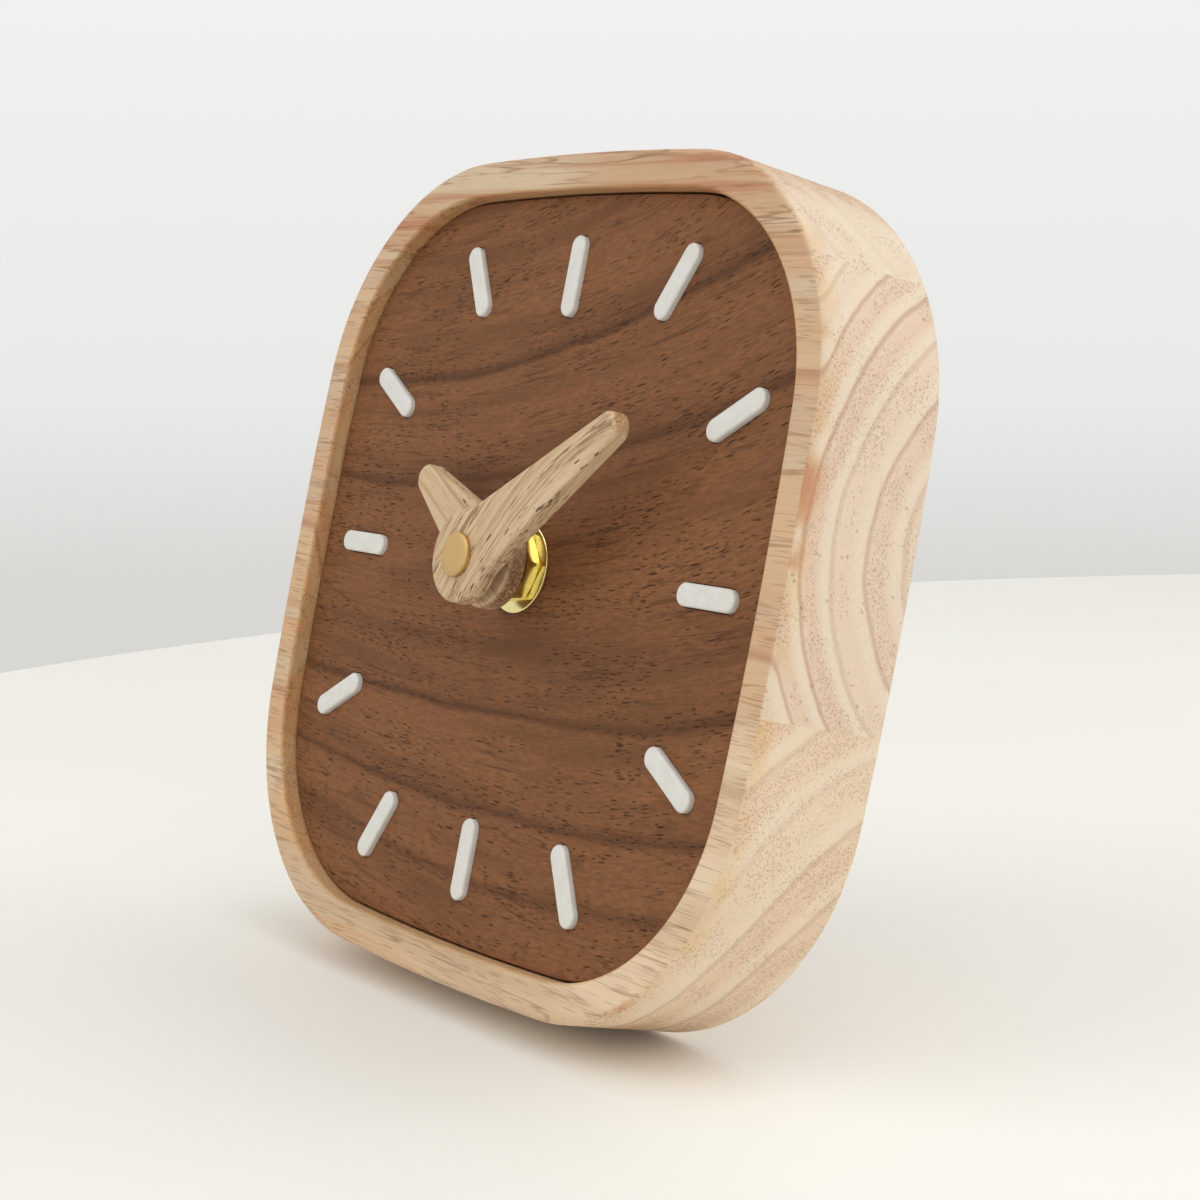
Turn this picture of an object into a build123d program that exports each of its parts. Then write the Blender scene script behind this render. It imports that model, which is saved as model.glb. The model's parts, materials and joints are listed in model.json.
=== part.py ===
from build123d import *
import os
from math import atan2, cos, degrees, radians, sin, sqrt

# A wooden desk clock that leans back on a short dowel. Every piece is drawn lying face up:
# X to the right of the dial, Y towards twelve o'clock, Z out towards the viewer, with zero
# at the front face of the case and on the axis of the hands. All lengths are millimetres.

# Case, a block glued up from three staves and milled from both faces
case_side = 125.0
side_bow_radius = 600.0
corner_radius = 37.0
rim_width = 5.7
edge_ease = 0.9
upper_glue_height = 47.0
lower_glue_depth = 14.3
window_gap = 1.0
window_corner = 4.0
movement_sink = 0.2

# How it stands
lean_angle = 13.4
seat_cut = 0.25
peg_radius = 6.0
peg_length = 26.0
peg_socket = 11.0
peg_ease = 0.8

# Dial plate and its markers
dial_recess = 2.6
dial_thickness = 3.0
dial_edge_gap = 0.35
dial_hole_gap = 0.2
marker_count = 12
marker_length = 12.3
marker_width = 3.3
marker_seat = 1.2
marker_proud = 0.9
marker_gap = 0.12
marker_edge_gap = 6.2
diagonal_marker_step = 5.8

# Hands
hub_radius = 7.0
hub_fillet = 6.0
hand_thickness = 2.8
hand_ease = 0.6
hour_hand_length = 24.9
hour_hand_root = 6.1
hour_hand_tip = 2.3
hour_hand_angle = 299.0
minute_hand_length = 38.0
minute_hand_root = 5.8
minute_hand_tip = 2.3
minute_hand_angle = 55.0
hour_hand_lift = 1.6
hands_gap = 1.8
bush_flange_radius = 4.7
bush_flange = 0.45
bush_sleeve = 2.0
bush_wall = 0.9
cap_radius = 3.3
cap_thickness = 0.8
cap_skirt_radius = 2.3

# What clamps the movement to the dial
collar_radius = 4.0
collar_flange_radius = 5.5
collar_flange = 0.7
collar_stand = 0.6
washer_radius = 6.9
washer_thickness = 0.6
washer_play = 0.15
nut_across_flats = 10.0
nut_thickness = 2.0
nut_turn = 7.5
gasket_radius = 9.0
gasket_thickness = 0.5

# Movement housing
movement_corner = 3.0
shell_wall = 1.2
shell_floor = 1.2
bay_floor = 0.9
cover_thickness = 1.0
cover_ledge = 0.6
cover_play = 0.05
post_radius = 1.6
rotor_post_height = 2.1
pivot_depth = 1.0
chamber_gap = 0.9

# Battery and its contacts
battery_diameter = 14.2
battery_length = 50.5
battery_play = 0.1
battery_side_play = 0.25
battery_sink = 0.2
nub_radius = 2.7
nub_height = 1.3
battery_ease = 0.5
contact_thickness = 0.4
contact_height = 9.0
contact_spring_room = 2.7
strip_thickness = 0.3
strip_width = 2.0
strip_place = 9.2
tab_width = 1.4
tab_reach = 4.6
tongue_width = 6.0
tongue_rise = 8.0

# Circuit board and what it carries
board_side_gap = 1.95
board_length = 27.0
board_thickness = 1.0
board_edge_gap = 0.4
board_foot = 2.1
board_post_radius = 1.2
board_post_inset = 2.5
crystal_radius = 1.0
crystal_length = 6.0
crystal_place = 16.0
chip_radius = 3.0
chip_height = 1.2
chip_ease = 0.8
chip_place = 8.0

# Stepping motor
magnet_radius = 3.0
magnet_height = 2.0
magnet_gap = 0.5
magnet_lift = 0.2
stator_thickness = 0.8
stator_pad_width = 2.0
stator_arm_width = 4.0
stator_arm_rise = 1.8
stator_board_gap = 4.9
stator_end_gap = 2.3
stator_tab_width = 4.0
coil_gap = 0.2
coil_wall_gap = 0.8
core_width = 2.0
core_thickness = 0.8
bobbin_radius = 1.9
bobbin_flange_radius = 3.4
bobbin_flange = 0.8
winding_radius = 3.2

# Arbors and running clearances
running_gap = 0.05
axial_gap = 0.2
arbor_radius = 0.5
minute_shaft_radius = 1.65
minute_shaft_flat = 1.35
minute_stud_radius = 1.1
seconds_arbor_reach = 9.0
hour_tube_radius = 2.5
clutch_radius = 2.6
clutch_thickness = 0.5
stud_radius = 0.9

# Wheels: thickness, and the distances between arbors
wheel_thickness = 0.8
hour_wheel_thickness = 1.0
motion_distance = 9.6
third_distance = 10.8
arbor_gap = 0.45
post_gap = 1.0
pinion_overlap = 0.2
train_gap = 0.6

# Directions of the arbors seen from the front, in degrees
motion_angle = -10.0
third_angle = 150.0
intermediate_angle = 75.0
rotor_angle = 20.0
knob_angle = 60.0

# Tooth counts
cannon_tooth_count = 10
motion_wheel_tooth_count = 30
motion_pinion_tooth_count = 8
hour_wheel_tooth_count = 32
knob_tooth_count = 10
centre_wheel_tooth_count = 45
third_pinion_tooth_count = 6
third_wheel_tooth_count = 48
seconds_pinion_tooth_count = 6
seconds_wheel_tooth_count = 30
intermediate_pinion_tooth_count = 6
intermediate_wheel_tooth_count = 36
rotor_pinion_tooth_count = 6

# Setting knob
knob_radius = 6.0
knob_height = 3.0
knob_lift = 0.4
knob_arbor_radius = 1.5
knob_pivot_radius = 0.8
knob_rib_count = 18

# Tooth outlines in modules out from the pitch circle and in shares of one pitch
wheel_tooth_shares = ((-1.2, -0.34), (1.0, -0.09), (1.0, 0.09), (-1.2, 0.34))
pinion_tooth_shares = ((-1.3, -0.29), (0.6, -0.1), (0.6, 0.1), (-1.3, 0.29))
knob_rib_shares = ((-1.0, -0.36), (0.0, -0.22), (0.0, 0.22), (-1.0, 0.36))

# Levels along Z, worked out from the face of the case backwards and forwards
dial_front = -dial_recess
dial_back = dial_front - dial_thickness
movement_front = dial_back - gasket_thickness
floor_level = movement_front - shell_floor
nut_back = dial_front + washer_thickness
nut_front = nut_back + nut_thickness
hour_hand_back = nut_front + hour_hand_lift
hour_hand_front = hour_hand_back + hand_thickness
minute_hand_back = hour_hand_front + hands_gap
minute_hand_front = minute_hand_back + hand_thickness
hour_wheel_front = floor_level - axial_gap
hour_wheel_back = hour_wheel_front - hour_wheel_thickness
cannon_front = hour_wheel_back - axial_gap
motion_wheel_front = cannon_front - axial_gap / 2
motion_wheel_back = motion_wheel_front - wheel_thickness
cannon_back = motion_wheel_back - axial_gap
centre_wheel_front = cannon_back - running_gap
centre_wheel_back = centre_wheel_front - wheel_thickness
clutch_front = centre_wheel_back - running_gap
clutch_back = clutch_front - clutch_thickness
third_wheel_front = clutch_back - 2 * axial_gap
third_wheel_back = third_wheel_front - wheel_thickness
seconds_wheel_front = third_wheel_back - train_gap
seconds_wheel_back = seconds_wheel_front - wheel_thickness
intermediate_wheel_front = seconds_wheel_back - train_gap - pinion_overlap
intermediate_wheel_back = intermediate_wheel_front - wheel_thickness
magnet_front = intermediate_wheel_back - pinion_overlap - magnet_lift
magnet_back = magnet_front - magnet_height
stator_front = (magnet_front + magnet_back + stator_thickness) / 2
stator_back = stator_front - stator_thickness
core_front = stator_front + core_thickness
board_front = stator_front - board_thickness / 2
board_back = board_front - board_thickness

# Levels that the bearing posts end at, in front of the wheels and behind them
train_post_level = centre_wheel_front + 2 * axial_gap
rotor_post_level = intermediate_wheel_front + pinion_overlap + train_gap
knob_post_level = motion_wheel_front + train_gap
seconds_rear_level = seconds_wheel_back - train_gap
intermediate_rear_level = intermediate_wheel_back - train_gap
rotor_rear_level = magnet_back - train_gap
pivot_reach = pivot_depth - axial_gap
seconds_arbor_top = clutch_back + seconds_arbor_reach

# The housing is as deep as the train or the battery needs, and the case hides it
train_back = rotor_rear_level - rotor_post_height - cover_thickness
battery_back = movement_front - bay_floor - battery_play - battery_diameter
movement_back = min(train_back, battery_back - battery_sink)
cover_level = movement_back + cover_thickness
case_depth = movement_sink - movement_back
half_case = case_side / 2


def polar(centre, distance, direction):
    """The point at a distance from a centre, in a direction given in degrees."""
    angle = radians(direction)
    return (centre[0] + distance * cos(angle), centre[1] + distance * sin(angle))


# Modules of the meshing pairs, how far the wheels reach, and where the arbors stand
hand_axis = (0.0, 0.0)
wheel_top_share = max(height for height, _ in wheel_tooth_shares)
cannon_module = 2 * motion_distance / (cannon_tooth_count + motion_wheel_tooth_count)
hour_module = 2 * motion_distance / (motion_pinion_tooth_count + hour_wheel_tooth_count)
centre_module = 2 * third_distance / (third_pinion_tooth_count + centre_wheel_tooth_count)
third_module = 2 * third_distance / (seconds_pinion_tooth_count + third_wheel_tooth_count)
centre_reach = centre_module * (centre_wheel_tooth_count / 2 + wheel_top_share)
motion_reach = cannon_module * (motion_wheel_tooth_count / 2 + wheel_top_share)
intermediate_distance = centre_reach + arbor_radius + arbor_gap
intermediate_reach = intermediate_distance - post_radius - post_gap
seconds_module = 2 * intermediate_distance / (
    intermediate_pinion_tooth_count + seconds_wheel_tooth_count
)
rotor_module = intermediate_reach / (intermediate_wheel_tooth_count / 2 + wheel_top_share)
rotor_distance = rotor_module * (rotor_pinion_tooth_count + intermediate_wheel_tooth_count) / 2
knob_distance = cannon_module * (knob_tooth_count + motion_wheel_tooth_count) / 2
motion_place = polar(hand_axis, motion_distance, motion_angle)
third_place = polar(hand_axis, third_distance, third_angle)
intermediate_place = polar(hand_axis, intermediate_distance, intermediate_angle)
rotor_place = polar(intermediate_place, rotor_distance, rotor_angle)
knob_place = polar(motion_place, knob_distance, knob_angle)

# The coil lies above the rotor, and the housing holds battery, wheels and coil
stator_pad_radius = magnet_radius + magnet_gap + stator_pad_width
coil_height = rotor_place[1] + stator_pad_radius + coil_gap + winding_radius
bay_width = battery_diameter + 2 * battery_side_play
wheel_reach = max(centre_reach, motion_reach - motion_place[1])
half_movement = max(
    (battery_length + contact_thickness + contact_spring_room) / 2 + shell_wall,
    wheel_reach + chamber_gap + shell_wall + bay_width + shell_wall,
    coil_height + bobbin_flange_radius + coil_wall_gap + shell_wall,
)
movement_side = 2 * half_movement
bay_inner = half_movement - shell_wall
bay_top = bay_width - bay_inner
chamber_bottom = bay_top + shell_wall


def disc(radius, bottom, top, at=hand_axis):
    """A plain cylinder between two levels."""
    return Pos(at[0], at[1], (bottom + top) / 2) * Cylinder(radius, top - bottom)


def block(low, high):
    """A box between two opposite corners."""
    size = [b - a for a, b in zip(low, high)]
    middle = [(a + b) / 2 for a, b in zip(low, high)]
    return Pos(*middle) * Box(*size)


def prism(face, bottom, top):
    """A flat face pulled up from one level to another."""
    return extrude(Pos(0, 0, bottom) * face, top - bottom, dir=(0, 0, 1))


def bowed_square(inset):
    """The case outline: four flat side arcs and four corner arcs, all tangent, set in evenly."""
    half = half_case - inset
    bow = side_bow_radius - inset
    corner = corner_radius - inset
    bow_centre = half - bow
    spread = bow - corner
    corner_centre = (bow_centre + sqrt(2 * spread**2 - bow_centre**2)) / 2
    swing = degrees(atan2(corner_centre, corner_centre - bow_centre))
    edges = []
    for turn in (0, 90, 180, 270):
        side = CenterArc((0, bow_centre), bow, 90 - swing, 2 * swing)
        bend = CenterArc((corner_centre, corner_centre), corner, swing, 90 - 2 * swing)
        edges += [side.rotate(Axis.Z, turn), bend.rotate(Axis.Z, turn)]
    return make_face(edges)


# Standing: the block is turned upright, leaned back and set on its rear bottom edge
lean = radians(lean_angle)
seat_across = half_case * sin(lean) - (case_depth - edge_ease) * cos(lean)
seat_low = -half_case * cos(lean) - (case_depth - edge_ease) * sin(lean)
seat_level = seat_low + seat_cut


def stand(piece):
    """Moves a piece from the bench to where it is on the standing clock."""
    return Pos(0, seat_across, -seat_level) * Rot(90 - lean_angle, 0, 0) * piece


def plane_off_seat(piece):
    """Stands a piece and planes away what would reach below the table."""
    reach = 2 * case_side
    return stand(piece) - block((-reach, -reach, -reach), (reach, reach, 0))


def peg_height():
    """Where the dowel's axis lies on the back so that its end rests on the table."""
    tip = case_depth + peg_length - peg_ease
    return (seat_low + tip * sin(lean)) / cos(lean) + peg_radius


def case_block():
    """The whole block before it is parted along its glue lines."""
    blank = prism(bowed_square(0), -case_depth, 0)
    blank -= prism(bowed_square(rim_width), dial_back, 0)
    back_face, *_, rim_face = blank.faces().sort_by(Axis.Z)
    blank = chamfer(rim_face.edges() + back_face.edges(), edge_ease)
    window = movement_side + 2 * window_gap
    blank -= prism(RectangleRounded(window, window, window_corner), -case_depth, dial_back)
    blank -= disc(peg_radius, -case_depth, -case_depth + peg_socket, (0, peg_height()))
    return blank


def staves():
    """The block parted into its three glued staves."""
    whole = case_block()
    levels = (-half_case, -lower_glue_depth, upper_glue_height, half_case)
    parts = []
    for low, high in zip(levels, levels[1:]):
        parts.append(whole & block((-half_case, low, -case_depth), (half_case, high, 0)))
    return parts


def rear_peg():
    """The dowel, glued in its socket, with its free end eased."""
    place = (0, peg_height())
    dowel = disc(peg_radius, -case_depth - peg_length, -case_depth + peg_socket, place)
    return chamfer(dowel.edges().group_by(Axis.Z)[0], peg_ease)


quarter_marker_radius = half_case - rim_width - dial_edge_gap - marker_edge_gap - marker_length / 2


def marker_place(hour):
    """Where an hour's marker lies on the dial: its centre turned to point at the axis."""
    radius = quarter_marker_radius + (0 if hour % 3 == 0 else diagonal_marker_step)
    direction = 90 - hour * 360 / marker_count
    x, y = polar(hand_axis, radius, direction)
    return Pos(x, y, 0) * Rot(0, 0, direction)


def dial_plate():
    """The walnut plate with its centre hole and a blind slot for every marker."""
    plate = prism(bowed_square(rim_width + dial_edge_gap), dial_back, dial_front)
    plate -= disc(collar_radius + dial_hole_gap, dial_back, dial_front)
    slot = SlotOverall(marker_length + 2 * marker_gap, marker_width + 2 * marker_gap)
    cutter = prism(slot, dial_front - marker_seat, dial_front)
    for hour in range(marker_count):
        plate -= marker_place(hour) * cutter
    return plate


def marker(hour):
    """One capsule marker, seated at the bottom of its slot and standing proud of the dial."""
    outline = SlotOverall(marker_length, marker_width)
    return marker_place(hour) * prism(outline, dial_front - marker_seat, dial_front + marker_proud)


def wooden_hand(length, root, tip, bore, angle, back):
    """A round hub drawn out to a narrower rounded tip, with a hollow where they meet."""
    tip_centre = length - tip
    run = sqrt(tip_centre**2 + root**2 - tip**2)
    slope = atan2(tip, run) - atan2(root, tip_centre)
    touch = (run * cos(slope), root + run * sin(slope))
    sides = Polyline((0, root), touch, (touch[0], -touch[1]), (0, -root), close=True)
    outline = Circle(hub_radius) + make_face(sides) + Pos(tip_centre, 0) * Circle(tip)
    hollows = outline.vertices().filter_by(lambda v: abs(v.Y) > (tip + root) / 2)
    outline = fillet(hollows, hub_fillet)
    hand = prism(outline, back, back + hand_thickness)
    hand = chamfer(hand.edges().group_by(Axis.Z)[-1], hand_ease)
    hand -= disc(bore, back, back + hand_thickness)
    return Rot(0, 0, 90 - angle) * hand


hour_bore = hour_tube_radius + bush_wall
minute_bore = minute_shaft_radius + bush_wall


def hour_hand():
    """The short hand, nearer the dial."""
    return wooden_hand(hour_hand_length, hour_hand_root, hour_hand_tip, hour_bore,
                       hour_hand_angle, hour_hand_back)


def minute_hand():
    """The long hand, in front."""
    return wooden_hand(minute_hand_length, minute_hand_root, minute_hand_tip, minute_bore,
                       minute_hand_angle, minute_hand_back)


def double_d():
    """The section of the minute shaft's end: a circle with two flats."""
    radius = minute_shaft_radius
    return Circle(radius) & Rectangle(2 * radius, 2 * minute_shaft_flat)


def hand_bush(back, bore, inner):
    """A brass bush: a flange behind the hand and a sleeve in the hand's bore."""
    outside = disc(bush_flange_radius, back - bush_flange, back)
    outside += disc(bore, back, back + bush_sleeve)
    return outside - prism(inner, back - bush_flange, back + bush_sleeve)


def hour_hand_bush():
    """The bush that grips the hour tube."""
    return hand_bush(hour_hand_back, hour_bore, Circle(hour_tube_radius))


def minute_hand_bush():
    """The bush that the flats of the minute shaft turn."""
    return hand_bush(minute_hand_back, minute_bore, double_d())


def hand_cap():
    """The flat brass cap, with a skirt that screws on the shaft's stud."""
    skirt_back = minute_hand_back + bush_sleeve
    cap = disc(cap_radius, minute_hand_front, minute_hand_front + cap_thickness)
    cap += disc(cap_skirt_radius, skirt_back, minute_hand_front)
    return cap - disc(minute_stud_radius, skirt_back, minute_hand_front)


def hex_nut():
    """The hexagon nut that clamps the movement to the dial."""
    face = RegularPolygon(nut_across_flats / 2, 6, major_radius=False, rotation=nut_turn)
    return prism(face, nut_back, nut_front) - disc(collar_radius, nut_back, nut_front)


def flat_washer():
    """The round brass washer between the nut and the dial."""
    washer = disc(washer_radius, dial_front, nut_back)
    return washer - disc(collar_radius + washer_play, dial_front, nut_back)


def sealing_gasket():
    """The rubber ring between the dial's back and the movement."""
    ring = disc(gasket_radius, movement_front, dial_back)
    return ring - disc(collar_radius + washer_play, movement_front, dial_back)


def threaded_collar():
    """The brass collar, flanged inside the shell, that the nut screws on."""
    collar = disc(collar_radius, floor_level, nut_front + collar_stand)
    collar += disc(collar_flange_radius, floor_level, floor_level + collar_flange)
    return collar - disc(hour_tube_radius + running_gap, floor_level, nut_front + collar_stand)


def front_posts():
    """Bearing posts inside the shell: place, the level they end at, and the pivot's radius."""
    return (
        (third_place, train_post_level, arbor_radius),
        (intermediate_place, train_post_level, arbor_radius),
        (rotor_place, rotor_post_level, arbor_radius),
        (knob_place, knob_post_level, knob_pivot_radius),
    )


def rear_posts():
    """Bearing posts on the cover: place, and the level they end at."""
    return (
        (hand_axis, seconds_rear_level),
        (third_place, seconds_rear_level),
        (intermediate_place, intermediate_rear_level),
        (rotor_place, rotor_rear_level),
    )


# The circuit board's edges, and where the battery's long strip ends under it
board_left = board_edge_gap - bay_inner
board_right = third_place[0] - post_radius - board_side_gap
board_low = chamber_bottom + board_foot
strip_left = board_left + strip_place


def board_posts():
    """The two posts that the circuit board rests on."""
    x = board_left + board_post_inset
    low = board_low + board_post_inset
    return ((x, low), (x, low + board_length - 2 * board_post_inset))


def movement_shell():
    """The front housing: gear chamber, battery bay, bearing posts and studs."""
    outline = RectangleRounded(movement_side, movement_side, movement_corner)
    shell = prism(outline, movement_back, movement_front)
    shell -= block((-bay_inner, chamber_bottom, movement_back), (bay_inner, bay_inner, floor_level))
    bay_back = movement_front - bay_floor
    shell -= block((-bay_inner, -bay_inner, movement_back), (bay_inner, bay_top, bay_back))
    ledge = cover_ledge
    rebate_low = (-bay_inner - ledge, chamber_bottom - ledge, movement_back)
    shell -= block(rebate_low, (bay_inner + ledge, bay_inner + ledge, cover_level))
    notch_top = stator_front
    shell -= block((-bay_inner, bay_top, cover_level), (tab_width - bay_inner + ledge,
                   chamber_bottom, notch_top))
    shell -= block((strip_left - ledge, bay_top, cover_level),
                   (strip_left + strip_width + ledge, chamber_bottom, board_back + ledge))
    for place, level, bore in front_posts():
        shell += disc(post_radius, level, floor_level, place)
        shell -= disc(bore + running_gap, level, level + pivot_depth, place)
    for place in board_posts():
        shell += disc(board_post_radius, board_front, floor_level, place)
    shell += disc(stud_radius, motion_wheel_back - axial_gap / 2, floor_level, motion_place)
    shell -= disc(collar_radius, floor_level, movement_front)
    return shell - disc(collar_flange_radius, floor_level, floor_level + collar_flange)


def movement_cover():
    """The rear cover over the wheels, with its bearing posts and the knob's hole."""
    reach = bay_inner + cover_ledge - cover_play
    low = chamber_bottom - cover_ledge + cover_play
    cover = block((-reach, low, movement_back), (reach, reach, cover_level))
    for place, level in rear_posts():
        cover += disc(post_radius, cover_level, level, place)
        cover -= disc(arbor_radius + running_gap, level - pivot_depth, level, place)
    return cover - disc(knob_arbor_radius + running_gap, movement_back, cover_level, knob_place)


# The battery lies across the bottom bay, its positive end to the left
battery_level = movement_front - bay_floor - battery_play - battery_diameter / 2
battery_height = battery_side_play + battery_diameter / 2 - bay_inner
battery_left = contact_thickness - bay_inner
battery_right = battery_left + battery_length


def lying_rod(radius, left, right, height, level):
    """A cylinder along X."""
    rod = Rot(0, 90, 0) * Cylinder(radius, right - left)
    return Pos((left + right) / 2, height, level) * rod


def battery():
    """An AA cell: can with eased ends and the positive nub."""
    can = lying_rod(battery_diameter / 2, battery_left + nub_height, battery_right,
                    battery_height, battery_level)
    can = chamfer(can.edges().filter_by(GeomType.CIRCLE), battery_ease)
    return can + lying_rod(nub_radius, battery_left, battery_left + nub_height,
                           battery_height, battery_level)


def end_plate(left, top):
    """A contact's plate standing against an end wall of the bay."""
    low = (left, battery_height - contact_height / 2, battery_level - contact_height / 2)
    return block(low, (left + contact_thickness, top, battery_level + contact_height / 2))


def positive_contact():
    """The plate at the nub, with a tab that reaches up under the circuit board."""
    plate = end_plate(-bay_inner, bay_top - strip_thickness)
    tab_low = (-bay_inner, bay_top - strip_thickness - strip_width, board_front)
    tab_high = (tab_width - bay_inner, chamber_bottom + tab_reach, board_front + strip_thickness)
    return plate + block(tab_low, tab_high)


def negative_contact():
    """The sprung plate at the flat end, with a strip that runs back to the circuit board."""
    plate_left = bay_inner - contact_thickness
    plate = end_plate(plate_left, bay_top)
    plate += block((strip_left, bay_top - strip_thickness, board_back - strip_width),
                   (bay_inner, bay_top, board_back))
    plate += block((strip_left, bay_top - strip_thickness, board_back - strip_thickness),
                   (strip_left + strip_width, chamber_bottom + tab_reach, board_back))
    corner = (plate_left, battery_height + tongue_rise / 2)
    bend = (battery_right, battery_height)
    foot = (plate_left, battery_height - tongue_rise / 2)
    hollow = strip_thickness * tongue_rise / (plate_left - battery_right) / 2
    outside = make_face(Polyline(corner, bend, foot, close=True))
    inside = make_face(Polyline((plate_left, corner[1] - hollow),
                                (battery_right + strip_thickness, battery_height),
                                (plate_left, foot[1] + hollow), close=True))
    tongue = prism(outside - inside, battery_level - tongue_width / 2,
                   battery_level + tongue_width / 2)
    return plate + tongue


def circuit_board():
    """The board on its two posts."""
    return block((board_left, board_low, board_back),
                 (board_right, board_low + board_length, board_front))


def quartz_crystal():
    """The crystal's can, lying along the board."""
    can = Rot(90, 0, 0) * Cylinder(crystal_radius, crystal_length)
    return Pos((board_left + board_right) / 2, board_low + crystal_place,
               board_back - crystal_radius) * can


def chip_blob():
    """The resin drop over the clock chip, flat where it sits on the board."""
    place = ((board_left + board_right) / 2, board_low + chip_place)
    drop = disc(chip_radius, board_back - chip_height, board_back, place)
    return chamfer(drop.edges().group_by(Axis.Z)[0], chip_ease)


# The motor: stator arm, core and coil
stator_left = board_right + stator_board_gap
stator_right = bay_inner - stator_end_gap
arm_height = rotor_place[1] + stator_arm_rise
stator_top = coil_height + core_width / 2
bobbin_left = stator_left + stator_tab_width
bobbin_right = stator_right - stator_tab_width
coil_level = core_front - core_thickness / 2


def stator_plate():
    """A flat iron frame with the rotor's hole in its arm and a tab at each end."""
    low = arm_height - stator_arm_width / 2
    arm = block((stator_left, low, stator_back), (stator_right, low + stator_arm_width, stator_front))
    left_tab = block((stator_left, low, stator_back), (bobbin_left, stator_top, stator_front))
    right_tab = block((bobbin_right, low, stator_back), (stator_right, stator_top, stator_front))
    pad = disc(stator_pad_radius, stator_back, stator_front, rotor_place)
    hole = disc(magnet_radius + magnet_gap, stator_back, stator_front, rotor_place)
    return arm + left_tab + right_tab + pad - hole


def coil_core():
    """The iron bar that joins the stator's tabs through the coil."""
    return block((stator_left, coil_height - core_width / 2, stator_front),
                 (stator_right, stator_top, core_front))


def bar_hole():
    """The slot through the bobbin for the core."""
    return block((bobbin_left, coil_height - core_width / 2, stator_front),
                 (bobbin_right, stator_top, core_front))


def coil_bobbin():
    """A tube with a flange at each end."""
    tube = lying_rod(bobbin_radius, bobbin_left, bobbin_right, coil_height, coil_level)
    for left in (bobbin_left, bobbin_right - bobbin_flange):
        tube += lying_rod(bobbin_flange_radius, left, left + bobbin_flange, coil_height, coil_level)
    return tube - bar_hole()


def coil_winding():
    """The copper winding, between the bobbin's flanges."""
    left = bobbin_left + bobbin_flange
    right = bobbin_right - bobbin_flange
    full = lying_rod(winding_radius, left, right, coil_height, coil_level)
    return full - lying_rod(bobbin_radius, left, right, coil_height, coil_level)


def toothed(teeth, module, shares, phase, bottom, top, at):
    """A toothed prism, with one tooth's middle at the phase angle, in degrees."""
    points = []
    for tooth in range(teeth):
        for offset, share in shares:
            direction = phase + (tooth + share) * 360 / teeth
            points.append(polar(at, module * (teeth / 2 + offset), direction))
    return prism(make_face(Polyline(*points, close=True)), bottom, top)


def wheel(teeth, module, phase, bottom, top, at=hand_axis):
    """A wheel, which has tall tapered teeth."""
    return toothed(teeth, module, wheel_tooth_shares, phase, bottom, top, at)


def pinion(teeth, module, phase, bottom, top, at=hand_axis):
    """A pinion, which has slim leaves and deep roots."""
    return toothed(teeth, module, pinion_tooth_shares, phase, bottom, top, at)


def meshed(phase, teeth, direction, other_teeth):
    """The phase of a gear that meshes with another one, lying in a direction from it."""
    offset = (phase - direction) * teeth / 360 + 0.5
    return direction + 180 - offset * 360 / other_teeth


# The motion wheel's phase is free, and what meshes with it follows
motion_phase = 0.0
cannon_phase = meshed(motion_phase, motion_wheel_tooth_count, motion_angle + 180, cannon_tooth_count)
knob_phase = meshed(motion_phase, motion_wheel_tooth_count, knob_angle, knob_tooth_count)


def minute_shaft():
    """The hollow shaft with its cannon pinion, its flats and its end stud."""
    shaft = disc(minute_shaft_radius, clutch_back, minute_hand_back - bush_flange)
    shaft += pinion(cannon_tooth_count, cannon_module, cannon_phase, cannon_back, cannon_front)
    bush_top = minute_hand_back + bush_sleeve
    shaft += prism(double_d(), minute_hand_back - bush_flange, bush_top)
    shaft += disc(minute_stud_radius, bush_top, minute_hand_front)
    bore_top = seconds_arbor_top + pivot_depth
    return shaft - disc(arbor_radius + running_gap, clutch_back, bore_top)


def clutch_ring():
    """The ring on the shaft's rear end that keeps the centre wheel on it."""
    ring = disc(clutch_radius, clutch_back, clutch_front)
    return ring - disc(minute_shaft_radius, clutch_back, clutch_front)


def centre_wheel():
    """The last wheel of the going train, held on the minute shaft by friction."""
    body = wheel(centre_wheel_tooth_count, centre_module, 0, centre_wheel_back, centre_wheel_front)
    bore = minute_shaft_radius + running_gap
    return body - disc(bore, centre_wheel_back, centre_wheel_front)


def motion_wheel():
    """The wheel and pinion, in one piece, that turn on the shell's stud."""
    body = wheel(motion_wheel_tooth_count, cannon_module, motion_phase, motion_wheel_back,
                 motion_wheel_front, motion_place)
    body += pinion(motion_pinion_tooth_count, hour_module, 0, motion_wheel_front, hour_wheel_front,
                   motion_place)
    bore = stud_radius + running_gap
    return body - disc(bore, motion_wheel_back, hour_wheel_front, motion_place)


def hour_wheel():
    """The hour wheel with the tube that carries the hour hand."""
    phase = meshed(0, motion_pinion_tooth_count, motion_angle + 180, hour_wheel_tooth_count)
    body = wheel(hour_wheel_tooth_count, hour_module, phase, hour_wheel_back, hour_wheel_front)
    tube_top = hour_hand_front - axial_gap
    body += disc(hour_tube_radius, hour_wheel_front, tube_top)
    bore = minute_shaft_radius + running_gap
    return body - disc(bore, hour_wheel_back, tube_top)


def arbor(at, rear_post, front_post):
    """A plain arbor between two bearing posts, just short of the end of each blind bore."""
    return disc(arbor_radius, rear_post - pivot_reach, front_post + pivot_reach, at)


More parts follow.
